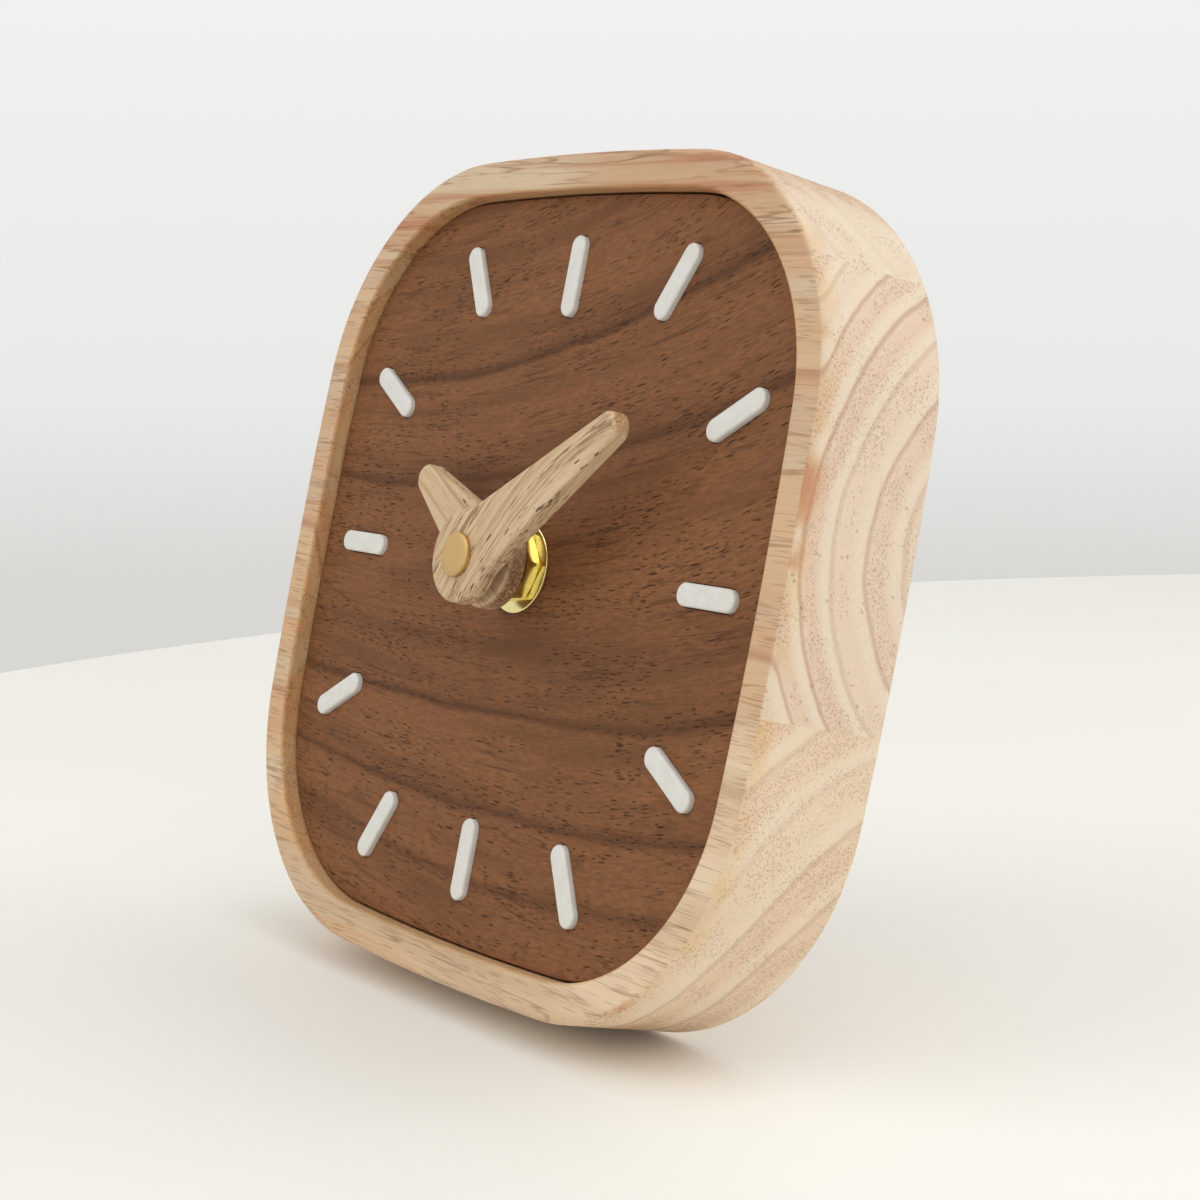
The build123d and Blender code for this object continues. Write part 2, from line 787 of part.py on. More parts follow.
def third_wheel():
    """The third wheel on its arbor, with the pinion that drives the centre wheel."""
    phase = meshed(0, centre_wheel_tooth_count, third_angle, third_pinion_tooth_count)
    body = wheel(third_wheel_tooth_count, third_module, 0, third_wheel_back, third_wheel_front,
                 third_place)
    body += pinion(third_pinion_tooth_count, centre_module, phase, third_wheel_front,
                   centre_wheel_front + pinion_overlap, third_place)
    return body + arbor(third_place, seconds_rear_level, train_post_level)


def seconds_wheel():
    """The seconds wheel, turning in the cover and inside the minute shaft."""
    phase = meshed(0, third_wheel_tooth_count, third_angle + 180, seconds_pinion_tooth_count)
    body = wheel(seconds_wheel_tooth_count, seconds_module, 0, seconds_wheel_back, seconds_wheel_front)
    body += pinion(seconds_pinion_tooth_count, third_module, phase, seconds_wheel_front,
                   third_wheel_front + pinion_overlap)
    return body + disc(arbor_radius, seconds_rear_level - pivot_reach, seconds_arbor_top)


def intermediate_wheel():
    """The wheel that the rotor drives, with the pinion that drives the seconds wheel."""
    phase = meshed(0, seconds_wheel_tooth_count, intermediate_angle, intermediate_pinion_tooth_count)
    body = wheel(intermediate_wheel_tooth_count, rotor_module, 0, intermediate_wheel_back,
                 intermediate_wheel_front, intermediate_place)
    body += pinion(intermediate_pinion_tooth_count, seconds_module, phase, intermediate_wheel_front,
                   seconds_wheel_front + pinion_overlap, intermediate_place)
    return body + arbor(intermediate_place, intermediate_rear_level, train_post_level)


def rotor_pinion():
    """The rotor's pinion and arbor, on which the magnet sits."""
    phase = meshed(0, intermediate_wheel_tooth_count, rotor_angle, rotor_pinion_tooth_count)
    top = intermediate_wheel_front + pinion_overlap
    body = pinion(rotor_pinion_tooth_count, rotor_module, phase, magnet_front, top, rotor_place)
    return body + arbor(rotor_place, rotor_rear_level, rotor_post_level)


def rotor_magnet():
    """The two-pole magnet, a ring pressed on the rotor's arbor."""
    magnet = disc(magnet_radius, magnet_back, magnet_front, rotor_place)
    return magnet - disc(arbor_radius, magnet_back, magnet_front, rotor_place)


def setting_knob():
    """The ribbed knob behind the cover, its arbor, and the pinion that turns the motion wheel."""
    head_front = movement_back - knob_lift
    head = toothed(knob_rib_count, 2 * knob_radius / knob_rib_count, knob_rib_shares, 0,
                   head_front - knob_height, head_front, knob_place)
    pinion_front = motion_wheel_front + axial_gap
    pinion_back = motion_wheel_back - axial_gap
    body = head + disc(knob_arbor_radius, head_front, pinion_back, knob_place)
    body += pinion(knob_tooth_count, cannon_module, knob_phase, pinion_back, pinion_front, knob_place)
    return body + disc(knob_pivot_radius, pinion_front, knob_post_level + pivot_reach, knob_place)


def all_pieces():
    """Every piece of the clock by name, standing."""
    bottom, middle, top = staves()
    pieces = {
        "bottom_stave": plane_off_seat(bottom),
        "middle_stave": stand(middle),
        "top_stave": stand(top),
        "rear_peg": plane_off_seat(rear_peg()),
        "dial_plate": stand(dial_plate()),
    }
    for hour in range(marker_count):
        pieces[f"marker_{hour or marker_count:02d}"] = stand(marker(hour))
    makers = (
        hour_hand, hour_hand_bush, minute_hand, minute_hand_bush, hand_cap, hex_nut,
        flat_washer, sealing_gasket, threaded_collar, movement_shell, movement_cover, battery,
        positive_contact, negative_contact, circuit_board, quartz_crystal, chip_blob,
        stator_plate, coil_core, coil_bobbin, coil_winding, rotor_magnet, rotor_pinion,
        intermediate_wheel, seconds_wheel, third_wheel, centre_wheel, clutch_ring,
        minute_shaft, motion_wheel, hour_wheel, setting_knob,
    )
    for maker in makers:
        pieces[maker.__name__] = stand(maker())
    return pieces


os.makedirs("parts", exist_ok=True)
for name, piece in all_pieces().items():
    export_step(piece, f"parts/{name}.step")
print("ok")
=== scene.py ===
import json
import math

import bmesh
import bpy
import numpy as np
from mathutils import Matrix, Vector


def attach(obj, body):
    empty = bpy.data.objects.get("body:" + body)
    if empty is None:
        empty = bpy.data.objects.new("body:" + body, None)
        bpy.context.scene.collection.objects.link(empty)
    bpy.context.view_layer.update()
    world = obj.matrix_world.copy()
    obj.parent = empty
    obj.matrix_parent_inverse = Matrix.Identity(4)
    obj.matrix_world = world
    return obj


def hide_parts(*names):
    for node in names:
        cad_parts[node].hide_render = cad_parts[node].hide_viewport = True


# A wooden desk clock. Shapes are worked out as it lies on the bench, in millimetres: X to the
# right of the dial, Y towards twelve, Z out to the viewer, zero at the case's front face on
# the hands' axis. toWorld stands them on the table in metres.

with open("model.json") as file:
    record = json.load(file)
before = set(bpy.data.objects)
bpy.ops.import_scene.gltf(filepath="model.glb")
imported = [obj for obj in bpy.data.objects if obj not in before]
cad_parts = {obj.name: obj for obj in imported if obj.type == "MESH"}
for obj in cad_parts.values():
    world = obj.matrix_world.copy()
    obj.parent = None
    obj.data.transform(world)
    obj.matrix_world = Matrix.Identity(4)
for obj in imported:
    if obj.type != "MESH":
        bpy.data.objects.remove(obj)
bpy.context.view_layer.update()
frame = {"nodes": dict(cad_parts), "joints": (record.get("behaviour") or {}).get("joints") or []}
scene = bpy.context.scene
print("frame loaded:", len(frame["nodes"]), "nodes")

millimetre = 0.001
handsJoint = next(j for j in frame["joints"] if j["name"] == "minute_hand_turn")
benchOrigin = np.array(handsJoint["pos_m"])
outward = np.array(handsJoint["axis"])
sideways = np.array([1.0, 0.0, 0.0])
benchAxes = np.array([sideways, np.cross(outward, sideways), outward])  # X, Y and Z
leanBack = math.atan2(outward[2], -outward[1])


def toWorld(points):
    # bench millimetres to world metres: turned by the lean, then moved to the hands' axis
    return np.asarray(points, float) @ benchAxes * millimetre + benchOrigin


def direction(vector):
    # a bench direction in the world
    return Vector(np.asarray(vector, float) @ benchAxes)


# Meshes

mergeDistance, cutDistance, weldDistance = 1e-7, 1e-8, 2e-6  # metres
sharpAngle = 35.0  # degrees between faces, above which an edge isn't shaded smooth


def gridFaces(rows, columns, closeRows):
    # quads between neighbouring rows and columns; columns always go round, rows if asked
    index = np.arange(rows * columns).reshape(rows, columns)
    after = np.roll(index, -1, 1)
    corners = np.stack([index, after, np.roll(after, -1, 0), np.roll(index, -1, 0)], -1)
    return corners[:rows if closeRows else rows - 1].reshape(-1, 4).tolist()


def closedMesh(name, points, closeRows=False, cuts=()):
    # world points (rows, columns, 3) as a closed mesh; open rows end in flat faces
    rows, columns = points.shape[:2]
    faces = gridFaces(rows, columns, closeRows)
    if not closeRows:
        faces += [list(range(columns)), list(range((rows - 1) * columns, rows * columns))]
    mesh = bpy.data.meshes.new(name)
    mesh.from_pydata(points.reshape(-1, 3).tolist(), [], faces)
    work = bmesh.new()
    work.from_mesh(mesh)
    bmesh.ops.remove_doubles(work, verts=work.verts, dist=mergeDistance)
    for point, normal in cuts:
        planeOff(work, point, normal)
    bmesh.ops.recalc_face_normals(work, faces=work.faces)
    work.to_mesh(mesh)
    work.free()
    return mesh


def makePiece(name, grid, finish, closeRows=False, sharp=sharpAngle, cuts=()):
    # a piece from a grid of bench points
    return finishPiece(name, closedMesh(name, toWorld(grid), closeRows, cuts), finish, sharp)


def planeOff(work, point, normal):
    # cuts the mesh by a world plane, takes off what the normal points at and closes the cut
    parts = work.verts[:] + work.edges[:] + work.faces[:]
    made = bmesh.ops.bisect_plane(work, geom=parts, plane_co=point, plane_no=normal,
                                  clear_outer=True, dist=cutDistance)
    edges = [e for e in made["geom_cut"] if isinstance(e, bmesh.types.BMEdge)]
    if edges:
        bmesh.ops.triangle_fill(work, edges=edges, use_beauty=True, use_dissolve=True)


def finishPiece(name, mesh, finish, sharp):
    # the object, shaded smooth except where its faces meet at more than the sharp angle
    mesh.materials.append(finish)
    mesh.polygons.foreach_set("use_smooth", [True] * len(mesh.polygons))
    mesh.set_sharp_from_angle(angle=math.radians(sharp))
    mesh.update()
    piece = bpy.data.objects.new(name, mesh)
    scene.collection.objects.link(piece)
    return piece


def fit(piece, body, slotName, *nodes):
    # the piece rides on its body and stands for these CAD nodes
    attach(piece, body)
    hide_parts(*nodes)


def heading(angle):
    # the unit vector (cos(angle), sin(angle))
    return np.stack([np.cos(angle), np.sin(angle)], -1)


def roundOver(centre, radius, steps, start, end):
    # a profile's round: points of an arc about its centre, between two angles in degrees
    angle = np.radians(np.linspace(start, end, steps))
    return [tuple(point) for point in np.asarray(centre) + radius * heading(angle)]


def wholeTurn(steps):
    return np.linspace(0, 2 * np.pi, steps, endpoint=False)


def ringPoints(radius, level, turn):
    # points round the Z axis: (radius cos(turn), radius sin(turn), level)
    return np.stack(np.broadcast_arrays(radius * np.cos(turn), radius * np.sin(turn), level), -1)


def lathe(profile, steps, centre=(0.0, 0.0)):
    # a profile of (radius, level) points turned round an axis along Z
    radius, level = np.asarray(profile, float).T[..., None]
    return ringPoints(radius, level, wholeTurn(steps)) + np.array([*centre, 0.0])


def turned(points, degrees):
    # points turned anticlockwise about the Z axis
    angle = math.radians(degrees)
    return points @ np.array([[math.cos(angle), math.sin(angle), 0],
                              [-math.sin(angle), math.cos(angle), 0], [0, 0, 1]])


def atLevel(outline, level):
    # a flat outline's points at one level
    return np.column_stack([outline, np.full(len(outline), level)])


# Node wiring


def tone(red, green, blue):
    # a colour as a picture shows it, 0 to 255, made linear for the shader
    share = np.array([red, green, blue]) / 255.0
    linear = np.where(share <= 0.04045, share / 12.92, ((share + 0.055) / 1.055) ** 2.4)
    return (*linear.tolist(), 1.0)


class Wiring:
    # a node tree while it is wired: each method adds a node and gives back its output socket

    def __init__(self, tree):
        self.tree = tree

    def add(self, kind, output, inputs, **settings):
        node = self.tree.nodes.new(kind)
        for key, value in settings.items():
            setattr(node, key, value)
        for key, value in inputs.items():
            if isinstance(value, bpy.types.NodeSocket):
                self.tree.links.new(value, node.inputs[key])
            else:
                node.inputs[key].default_value = value
        return node.outputs[output]

    def place(self, vector, shift=(0, 0, 0), turn=(0, 0, 0), scale=(1, 1, 1)):
        return self.add("ShaderNodeMapping", 0,
                        {"Vector": vector, "Location": shift, "Rotation": turn, "Scale": scale})

    def calc(self, operation, *values):
        return self.add("ShaderNodeMath", 0, dict(enumerate(values)), operation=operation)

    def vector(self, operation, *values, output=0):
        return self.add("ShaderNodeVectorMath", output, dict(enumerate(values)),
                        operation=operation)

    def along(self, vector, axis):
        # one of a vector's three numbers
        return self.add("ShaderNodeSeparateXYZ", axis, {0: vector})

    def product(self, first, *others):
        for value in others:
            first = self.calc("MULTIPLY", first, value)
        return first

    def fromAxis(self, vector):
        # the distance from the X axis
        return self.vector("LENGTH", self.vector("MULTIPLY", vector, (0, 1, 1)), output=1)

    def coordinates(self, kind):
        return self.add("ShaderNodeTexCoord", kind, {})

    def noise(self, vector, scale, detail=2.0, roughness=0.5, output=0):
        return self.add("ShaderNodeTexNoise", output,
                        {"Vector": vector, "Scale": scale, "Detail": detail,
                         "Roughness": roughness})

    def drawnNoise(self, point, share, scale, detail, roughness):
        # noise drawn out along X: what lies far apart there is read as near
        return self.noise(self.place(point, scale=(share, 1, 1)), scale, detail, roughness)

    def rise(self, value, low, high, bottom=0.0, top=1.0):
        # a smooth step from bottom to top while the value goes from low to high
        return self.add("ShaderNodeMapRange", 0,
                        {0: value, 1: low, 2: high, 3: bottom, 4: top},
                        interpolation_type="SMOOTHSTEP")

    def ramp(self, value, stops):
        # colours along a ramp, given as (place, grey level) or (place, colour)
        socket = self.add("ShaderNodeValToRGB", 0, {0: value})
        elements = socket.node.color_ramp.elements
        while len(elements) < len(stops):
            elements.new(0.5)
        for element, (spot, level) in zip(elements, stops):
            element.position = spot
            element.color = level if isinstance(level, tuple) else (level, level, level, 1.0)
        return socket

    def mix(self, share, first, second, how="MIX"):
        return self.add("ShaderNodeMix", 2, {0: share, 6: first, 7: second},
                        data_type="RGBA", blend_type=how)

    def shade(self, colour, level):
        # a colour times a grey level
        grey = self.add("ShaderNodeCombineColor", 0, {0: level, 1: level, 2: level})
        return self.mix(1.0, colour, grey, "MULTIPLY")

    def bump(self, height, depth, **below):
        # relief from a height of 0 to 1, as deep as depth in millimetres, over another Normal
        return self.add("ShaderNodeBump", 0,
                        {"Height": height, "Distance": depth * millimetre, **below})


class Finish(Wiring):
    # a material's wiring, round its own shader

    def __init__(self, name, **shaderValues):
        self.material = bpy.data.materials.new(name)
        self.material.use_nodes = True
        super().__init__(self.material.node_tree)
        self.shader = self.tree.nodes["Principled BSDF"]
        for key, value in shaderValues.items():
            self.socket(key).default_value = value

    def socket(self, key):
        return self.shader.inputs[key.replace("_", " ")]

    def bench(self):
        # the point on the piece in bench millimetres
        spot = self.coordinates("Object")
        turnBack = leanBack - math.pi / 2
        back = Matrix.Rotation(turnBack, 3, "X") @ Vector(-benchOrigin / millimetre)
        return self.place(spot, back, (turnBack, 0, 0), (1 / millimetre,) * 3)

    def done(self, **links):
        for key, socket in links.items():
            self.tree.links.new(socket, self.socket(key))
        return self.material


def woodFinish(name, look):
    # Solid wood. Rings are shells round a pith along X, pores are dots drawn out along X,
    # so a face across the grain shows rings and dots, and a face along it lines and dashes.
    w = Finish(name, Roughness=look["roughness"], Specular_IOR_Level=look["gloss"])
    point = fanned(w, w.bench(), *look["fan"]) if "fan" in look else w.bench()
    straight = w.place(point, look["pith"], [math.radians(angle) for angle in look["turn"]])
    grain = fanned(w, straight, *look["sweep"]) if "sweep" in look else straight
    slow = w.place(grain, scale=(look["slowShare"], 1, 1))
    bent = grain
    for size, scale, detail, roughness in ((look["warp"], look["warpScale"], 2.0, 0.5),
                                           (look["wobble"], look["wobbleScale"], 3.0, 0.55)):
        shift = w.noise(slow, scale, detail, roughness, 1)
        shift = w.vector("SUBTRACT", shift, (0.5, 0.5, 0.5))
        bent = w.vector("ADD", bent, w.vector("MULTIPLY", shift, (0, size, size)))
    beyond = w.calc("SUBTRACT", w.fromAxis(bent), look["firstRing"])
    slope = w.calc("MULTIPLY_ADD", beyond, look.get("ringCrowding", 0.0), 1 / look["ringGap"])
    ring = w.product(beyond, slope)
    phase = w.calc("FRACT", ring)
    weight = w.add("ShaderNodeTexWhiteNoise", 0, {"W": w.calc("FLOOR", ring)},
                   noise_dimensions="1D")
    weight = w.rise(weight, 0.0, 1.0, look["faintRing"], 1.0)
    band = w.product(w.ramp(phase, look["ringBand"]), weight)
    line = w.product(w.ramp(phase, look["ringLine"]), weight)
    # colour: early wood, the band before each ring's end, streaks along the grain
    streak = w.drawnNoise(grain, *look["streakNoise"])
    streak = w.product(w.rise(streak, *look["streakRange"]), look["streakStrength"])
    colour = w.mix(w.product(band, look["bandStrength"]), look["early"], look["late"])
    colour = w.mix(w.product(line, look["lineStrength"]), colour, look["line"])
    fibre = w.drawnNoise(grain, *look["fibreNoise"])
    colour = w.shade(colour, w.rise(fibre, 0.2, 0.8, 1 - look["fibre"], 1 + look["fibre"] * 0.6))
    # thin lines along the grain, where a drawn-out noise passes its middle
    vein = w.drawnNoise(grain, *look["veinNoise"])
    vein = w.rise(w.calc("ABSOLUTE", w.calc("SUBTRACT", vein, 0.5)), 0.0, look["veinWidth"],
                  1.0, 0.0)
    faint = w.rise(w.noise(slow, 0.25), 0.35, 0.65, 0.1, 1.0)
    vein = w.product(vein, faint, look["veinStrength"])
    if look.get("faceTint"):
        colour = faceAndArris(w, look, point, grain, colour, streak, vein)
    else:
        colour = w.mix(vein, w.mix(streak, colour, look["streak"]), look["vein"])
    if "endGrainAndShadeTint" in look:  # darker where the fibres end; on the hour hand dark enough to be a painted shade of the minute hand
        facing = w.coordinates("Normal")
        facing = w.vector("DOT_PRODUCT", facing, look["axis"], output=1)
        ends = w.rise(w.calc("ABSOLUTE", facing), 0.4, 0.95)
        mottled = w.rise(w.noise(point, 2.2, 3.0, 0.6), 0.35, 0.6, 0.5, 1.0)
        colour = w.mix(w.product(ends, mottled), colour, look["endGrainAndShadeTint"], "MULTIPLY")
    # pores: one long cell each, kept where a random number and the ring allow it
    slope, level = look.get("poreSide", (0.0, 0.0))  # more of them towards one side
    limit = w.calc("MULTIPLY_ADD", w.along(straight, 1), slope, level - 0.5 * look["crowding"])
    crowd = w.noise(slow, look["crowdScale"])
    limit = w.calc("MULTIPLY_ADD", crowd, look["crowding"], limit)
    limit = w.calc("MULTIPLY_ADD", band, look["bandPores"], limit)
    pores = 0.0
    for gap, longer, size, share, strength in look["pores"]:
        cells = w.place(bent, scale=(1 / (gap * longer), 1 / gap, 1 / gap))
        spot = w.add("ShaderNodeTexVoronoi", 0, {"Vector": cells, "Scale": 1.0})
        chance = w.add("ShaderNodeSeparateColor", 0, {0: spot.node.outputs[1]})
        kept = w.calc("LESS_THAN", chance, w.calc("ADD", limit, share))
        dot = w.rise(spot, size / gap * 0.7, size / gap * 1.3, 1.0, 0.0)
        pores = w.calc("MAXIMUM", w.product(dot, kept, strength), pores)
    colour = w.mix(pores, colour, look["pore"])
    rough = w.rise(fibre, 0.25, 0.75, look["roughness"] - 0.07, look["roughness"] + 0.08)
    relief = w.bump(fibre, look["fibreDepth"])
    relief = w.bump(w.calc("SUBTRACT", 1.0, pores), look["poreDepth"], Normal=relief)
    return w.done(Base_Color=colour, Roughness=rough, Normal=relief)


def fanned(w, point, fan, bow, lean):
    # lines of grain that fan out and curl: y falls by x (fan y + bow x + lean)
    x = w.along(point, 0)
    slope = w.calc("MULTIPLY_ADD", w.along(point, 1), fan, w.calc("MULTIPLY_ADD", x, bow, lean))
    lift = w.add("ShaderNodeCombineXYZ", 0, {1: w.product(x, slope)})
    return w.vector("SUBTRACT", point, lift)


def faceAndArris(w, look, point, grain, colour, streak, vein):
    # the end grain at the two outer sides is palest; faces along the grain are deeper, with
    # thin brown lines, and the recess's wall darkest, a painted shade; the arris is warm, reddish
    # in places
    facing = w.coordinates("Normal")
    across = w.product(w.along(facing, 0), w.along(point, 0))
    outer = w.product(across, 1 / case["half"])
    face = w.rise(outer, 0.1, 0.5, 1.0, 0.0)
    # painted light: faces grow paler towards +X, where the window on the right falls
    tint = w.mix(w.rise(w.along(point, 0), *look["paintedLightFrom"]), look["faceTint"], look["paintedLightTint"])
    patch = w.drawnNoise(grain, *look["patchNoise"])
    tint = w.mix(w.rise(patch, *look["patchRange"]), tint, look["patchTint"])
    colour = w.mix(face, colour, tint, "MULTIPLY")
    colour = w.mix(w.product(streak, face), colour, look["streak"])
    colour = w.mix(w.product(vein, face), colour, look["vein"])
    # the arris: rounded edge and a fading strip of the side, broken along its length
    rounded = w.rise(w.product(outer, w.along(facing, 1), -1.0), 0.06, 0.3)
    strip = w.product(w.rise(w.along(point, 2), -look["arrisReach"], 0.0),
                      w.rise(outer, 0.3, 0.8))
    broken = w.rise(w.noise(grain, 0.22), 0.3, 0.65, 0.2, 1.0)
    arris = w.product(w.calc("MAXIMUM", strip, rounded), broken)
    colour = w.mix(w.product(arris, look["arrisStrength"]), colour, look["arris"],
                   "MULTIPLY")
    height, near, far = look["redPatch"]
    away = w.calc("ABSOLUTE", w.calc("SUBTRACT", w.along(point, 1), height))
    red = w.calc("MAXIMUM", w.rise(w.noise(grain, look["redScale"]), *look["redRange"]),
                 w.rise(away, near, far, 1.0, 0.0))
    colour = w.mix(w.product(arris, red, look["redStrength"]), colour, look["red"])
    # painted shade: walls that face the middle are darkened and warmed for their shade and the
    # walnut's bounce
    upFacing = w.vector("DOT_PRODUCT", facing, direction((0, 1, 0)), output=1)
    inward = w.calc("MULTIPLY_ADD", upFacing, w.along(point, 1), across)
    wall = w.rise(w.product(inward, -1 / case["half"]), 0.1, 0.5)
    return w.mix(wall, colour, look["wallShadeTint"], "MULTIPLY")


def evenFinish(name, look):
    # brass, plastic, rubber or lacquer: clouds of a second tone, and a fine grain in the gloss
    w = Finish(name, Metallic=look.get("metallic", 0.0), Roughness=look["roughness"])
    point = w.bench()
    cloud = w.noise(point, *look["cloud"])
    grain = w.noise(point, look["grain"], 3.0, 0.6)
    shade = w.mix(w.rise(cloud, 0.3, 0.7, 0.0, look["share"]), *look["tones"])
    rough = w.calc("MULTIPLY_ADD", grain, look["swing"], look["roughness"] - look["swing"] / 2)
    relief = w.bump(grain, look["depth"])
    if "cloudDepth" in look:
        relief = w.bump(cloud, look["cloudDepth"], Normal=relief)
    return w.done(Base_Color=shade, Roughness=rough, Normal=relief)


def steelFinish(name, colour, roughness, drawn):
    # plated or rolled metal, with fine lines along X as long as drawn says
    w = Finish(name, Metallic=1.0, Roughness=roughness)
    lines = w.drawnNoise(w.bench(), 1 / drawn, 6.0, 3.0, 0.6)
    shade = w.shade(colour, w.rise(lines, 0.3, 0.7, 0.86, 1.06))
    rough = w.calc("MULTIPLY_ADD", lines, 0.2, roughness - 0.1)
    return w.done(Base_Color=shade, Roughness=rough, Normal=w.bump(lines, 0.004))


# Case: three staves of pale wood, glued up and milled. Sizes in millimetres.

case = {
    "half": 62.5, "bow": 600, "corner": 37, "rim": 5.7, "depth": 21.7, "recess": 5.6,
    "windowHalf": 29, "windowCorner": 4, "outerRound": 1.2, "outerHold": 0.4,
    "innerRound": 0.5, "innerHold": 0.3, "glueHeights": (-14.3, 47), "sideSteps": 40,
    "cornerSteps": 36, "depthSteps": 12, "outerSteps": 7, "innerSteps": 5, "windowBow": 1e6,
}


def bowedSquare(half, bow, corner):
    # four wide arcs for the sides and four corner arcs, tangent to each other, anticlockwise
    bowCentre = half - bow
    spread = bow - corner
    middle = (bowCentre + math.sqrt(2 * spread**2 - bowCentre**2)) / 2
    swing = math.atan2(middle, middle - bowCentre)
    bend = np.linspace(swing, math.pi / 2 - swing, case["cornerSteps"], endpoint=False)
    flat = np.linspace(math.pi / 2 - swing, math.pi / 2 + swing, case["sideSteps"],
                       endpoint=False)
    turns = [np.concatenate([middle + corner * heading(bend),
                             [0, bowCentre] + bow * heading(flat)])]
    for _ in range(3):
        turns.append(turns[-1][:, ::-1] * [-1, 1])
    return np.concatenate(turns)


def caseOutline(inset):
    return bowedSquare(case["half"] - inset, case["bow"] - inset, case["corner"] - inset)


def caseGrid():
    # the block's section (inset, level) carried round the outline and closed through the
    # square window behind the dial; the holds keep the rounds' shading off the flats
    outer, inner, rim = case["outerRound"], case["innerRound"], case["rim"]
    hold, lip = outer + case["outerHold"], inner + case["innerHold"]
    back, recess = -case["depth"], -case["recess"]
    section = [(hold, back)]
    section += roundOver((outer, back + outer), outer, case["outerSteps"], 270, 180)
    section += [(0, z) for z in np.linspace(back + hold, -hold, case["depthSteps"])]
    section += roundOver((outer, -outer), outer, case["outerSteps"], 180, 90)
    section += [(hold, 0), (rim - lip, 0)]
    section += roundOver((rim - inner, -inner), inner, case["innerSteps"], 90, 0)
    section += [(rim, -lip), (rim, recess)]
    window = bowedSquare(case["windowHalf"], case["windowBow"], case["windowCorner"])
    rows = [atLevel(caseOutline(inset), z) for inset, z in section]
    return np.array(rows + [atLevel(window, z) for z in (recess, (recess + back) / 2, back)])


staveLooks = {
    "bottom_stave": {
        "pith": (0, 53, 40), "firstRing": 3.8, "ringGap": 7.5, "lineStrength": 0.4,
        "early": tone(238, 218, 191), "late": tone(230, 197, 167),
        # painted light: this stave's faces pale strongly towards +X, the lit end
        "paintedLightTint": (1, 0.96, 0.89, 1), "paintedLightFrom": (-30, 25),
        "pores": ((0.34, 16, 0.12, 0.22, 0.32), (0.5, 12, 0.15, 0.1, 0.36),
                  (1, 8, 0.2, 0.05, 0.34)),
    },
    "middle_stave": {
        "pith": (0, -12.6, 40.1), "firstRing": 20.8, "ringGap": 7.1, "ringCrowding": 0.0016,
    },
    "top_stave": {
        "pith": (0, -75, 48), "firstRing": 1, "ringGap": 8.2, "bandStrength": 0.4,
        "lineStrength": 0.25, "faceTint": (0.78, 0.60, 0.45, 1),
        "paintedLightTint": (0.79, 0.61, 0.46, 1), "streak": tone(188, 128, 90),
        "streakStrength": 0.75, "streakNoise": (0.025, 0.4, 3, 0.6), "streakRange": (0.5, 0.64),
        "veinStrength": 0.75,
    },
}
paleWood = {
    "turn": (0, 0.6, 0.4), "roughness": 0.55, "gloss": 0.3,
    "slowShare": 0.12, "warpScale": 0.035, "warp": 4, "wobbleScale": 0.35, "wobble": 0.45,
    "faintRing": 0.45,  # ring ramps: (share of the ring, strength)
    "ringBand": ((0, 0.15), (0.2, 0), (0.5, 0.8), (0.75, 0.65), (0.92, 0.4), (1, 0.15)),
    "ringLine": ((0, 0.75), (0.05, 0), (0.84, 0), (0.95, 1), (1, 0.75)),
    "early": tone(236, 218, 194), "late": tone(226, 194, 168), "line": tone(194, 152, 126),
    "bandStrength": 0.9, "lineStrength": 0.7,
    # noises: (how far drawn out, scale, detail, roughness)
    "streak": tone(186, 146, 108), "streakNoise": (0.03, 0.16, 3, 0.6),
    "streakRange": (0.5, 0.78), "streakStrength": 0.35,
    "fibreNoise": (0.04, 2.2, 4, 0.65), "fibre": 0.07, "fibreDepth": 0.02,
    "faceTint": (0.88, 0.71, 0.55, 1), "paintedLightTint": (0.88, 0.71, 0.55, 1),
    "paintedLightFrom": (0, 40), "patchTint": (0.86, 0.79, 0.69, 1),
    "patchNoise": (0.1, 0.12, 2, 0.5), "patchRange": (0.48, 0.62),
    "vein": tone(146, 98, 60), "veinNoise": (0.045, 0.42, 2, 0.6), "veinWidth": 0.028,
    "veinStrength": 0.55, "wallShadeTint": (0.91, 0.80, 0.64, 1),
    "arris": (0.96, 0.84, 0.64, 1), "arrisStrength": 0.8, "arrisReach": 4,
    "red": tone(196, 126, 84), "redScale": 0.1, "redRange": (0.52, 0.68), "redStrength": 0.75,
    "redPatch": (15.5, 2, 6.5),
    "pore": tone(148, 106, 74), "poreDepth": 0.02, "crowdScale": 0.13, "crowding": 1.8,
    "bandPores": 0.8,  # pores: (cell, times as long, size, share of the cells, strength)
    "pores": ((0.34, 16, 0.11, 0.06, 0.32), (0.5, 12, 0.15, 0, 0.4),
              (1.3, 8, 0.26, 0.03, 0.4)),
}


tablePlane = (Vector((0, 0, 0)), Vector((0, 0, -1)))  # what is below it is planed off


def buildCase():
    grid = caseGrid()
    low, high = case["glueHeights"]
    up = direction((0, 1, 0))
    lowPoint, highPoint = Vector(toWorld((0, low, 0))), Vector(toWorld((0, high, 0)))
    cuts = {
        "bottom_stave": [(lowPoint, up), tablePlane],
        "middle_stave": [(lowPoint, -up), (highPoint, up)],
        "top_stave": [(highPoint, -up)],
    }
    for node, planes in cuts.items():
        finish = woodFinish(node + "_wood", {**paleWood, **staveLooks[node]})
        piece = makePiece(node.replace("_", "-"), grid, finish, closeRows=True, cuts=planes)
        if node == "bottom_stave":
            drillSocket(piece)
        fit(piece, "case", "case_wood", node)


# The dowel behind, glued in its socket; the table planes its end's ease flat.

dowel = {"radius": 6, "height": -50.28, "inside": 11, "length": 26, "ease": 0.8,
         "hold": 0.3, "middle": 0.5, "glue": 0.01, "clear": 2, "steps": 96, "rows": 20,
         "easeSteps": 6}


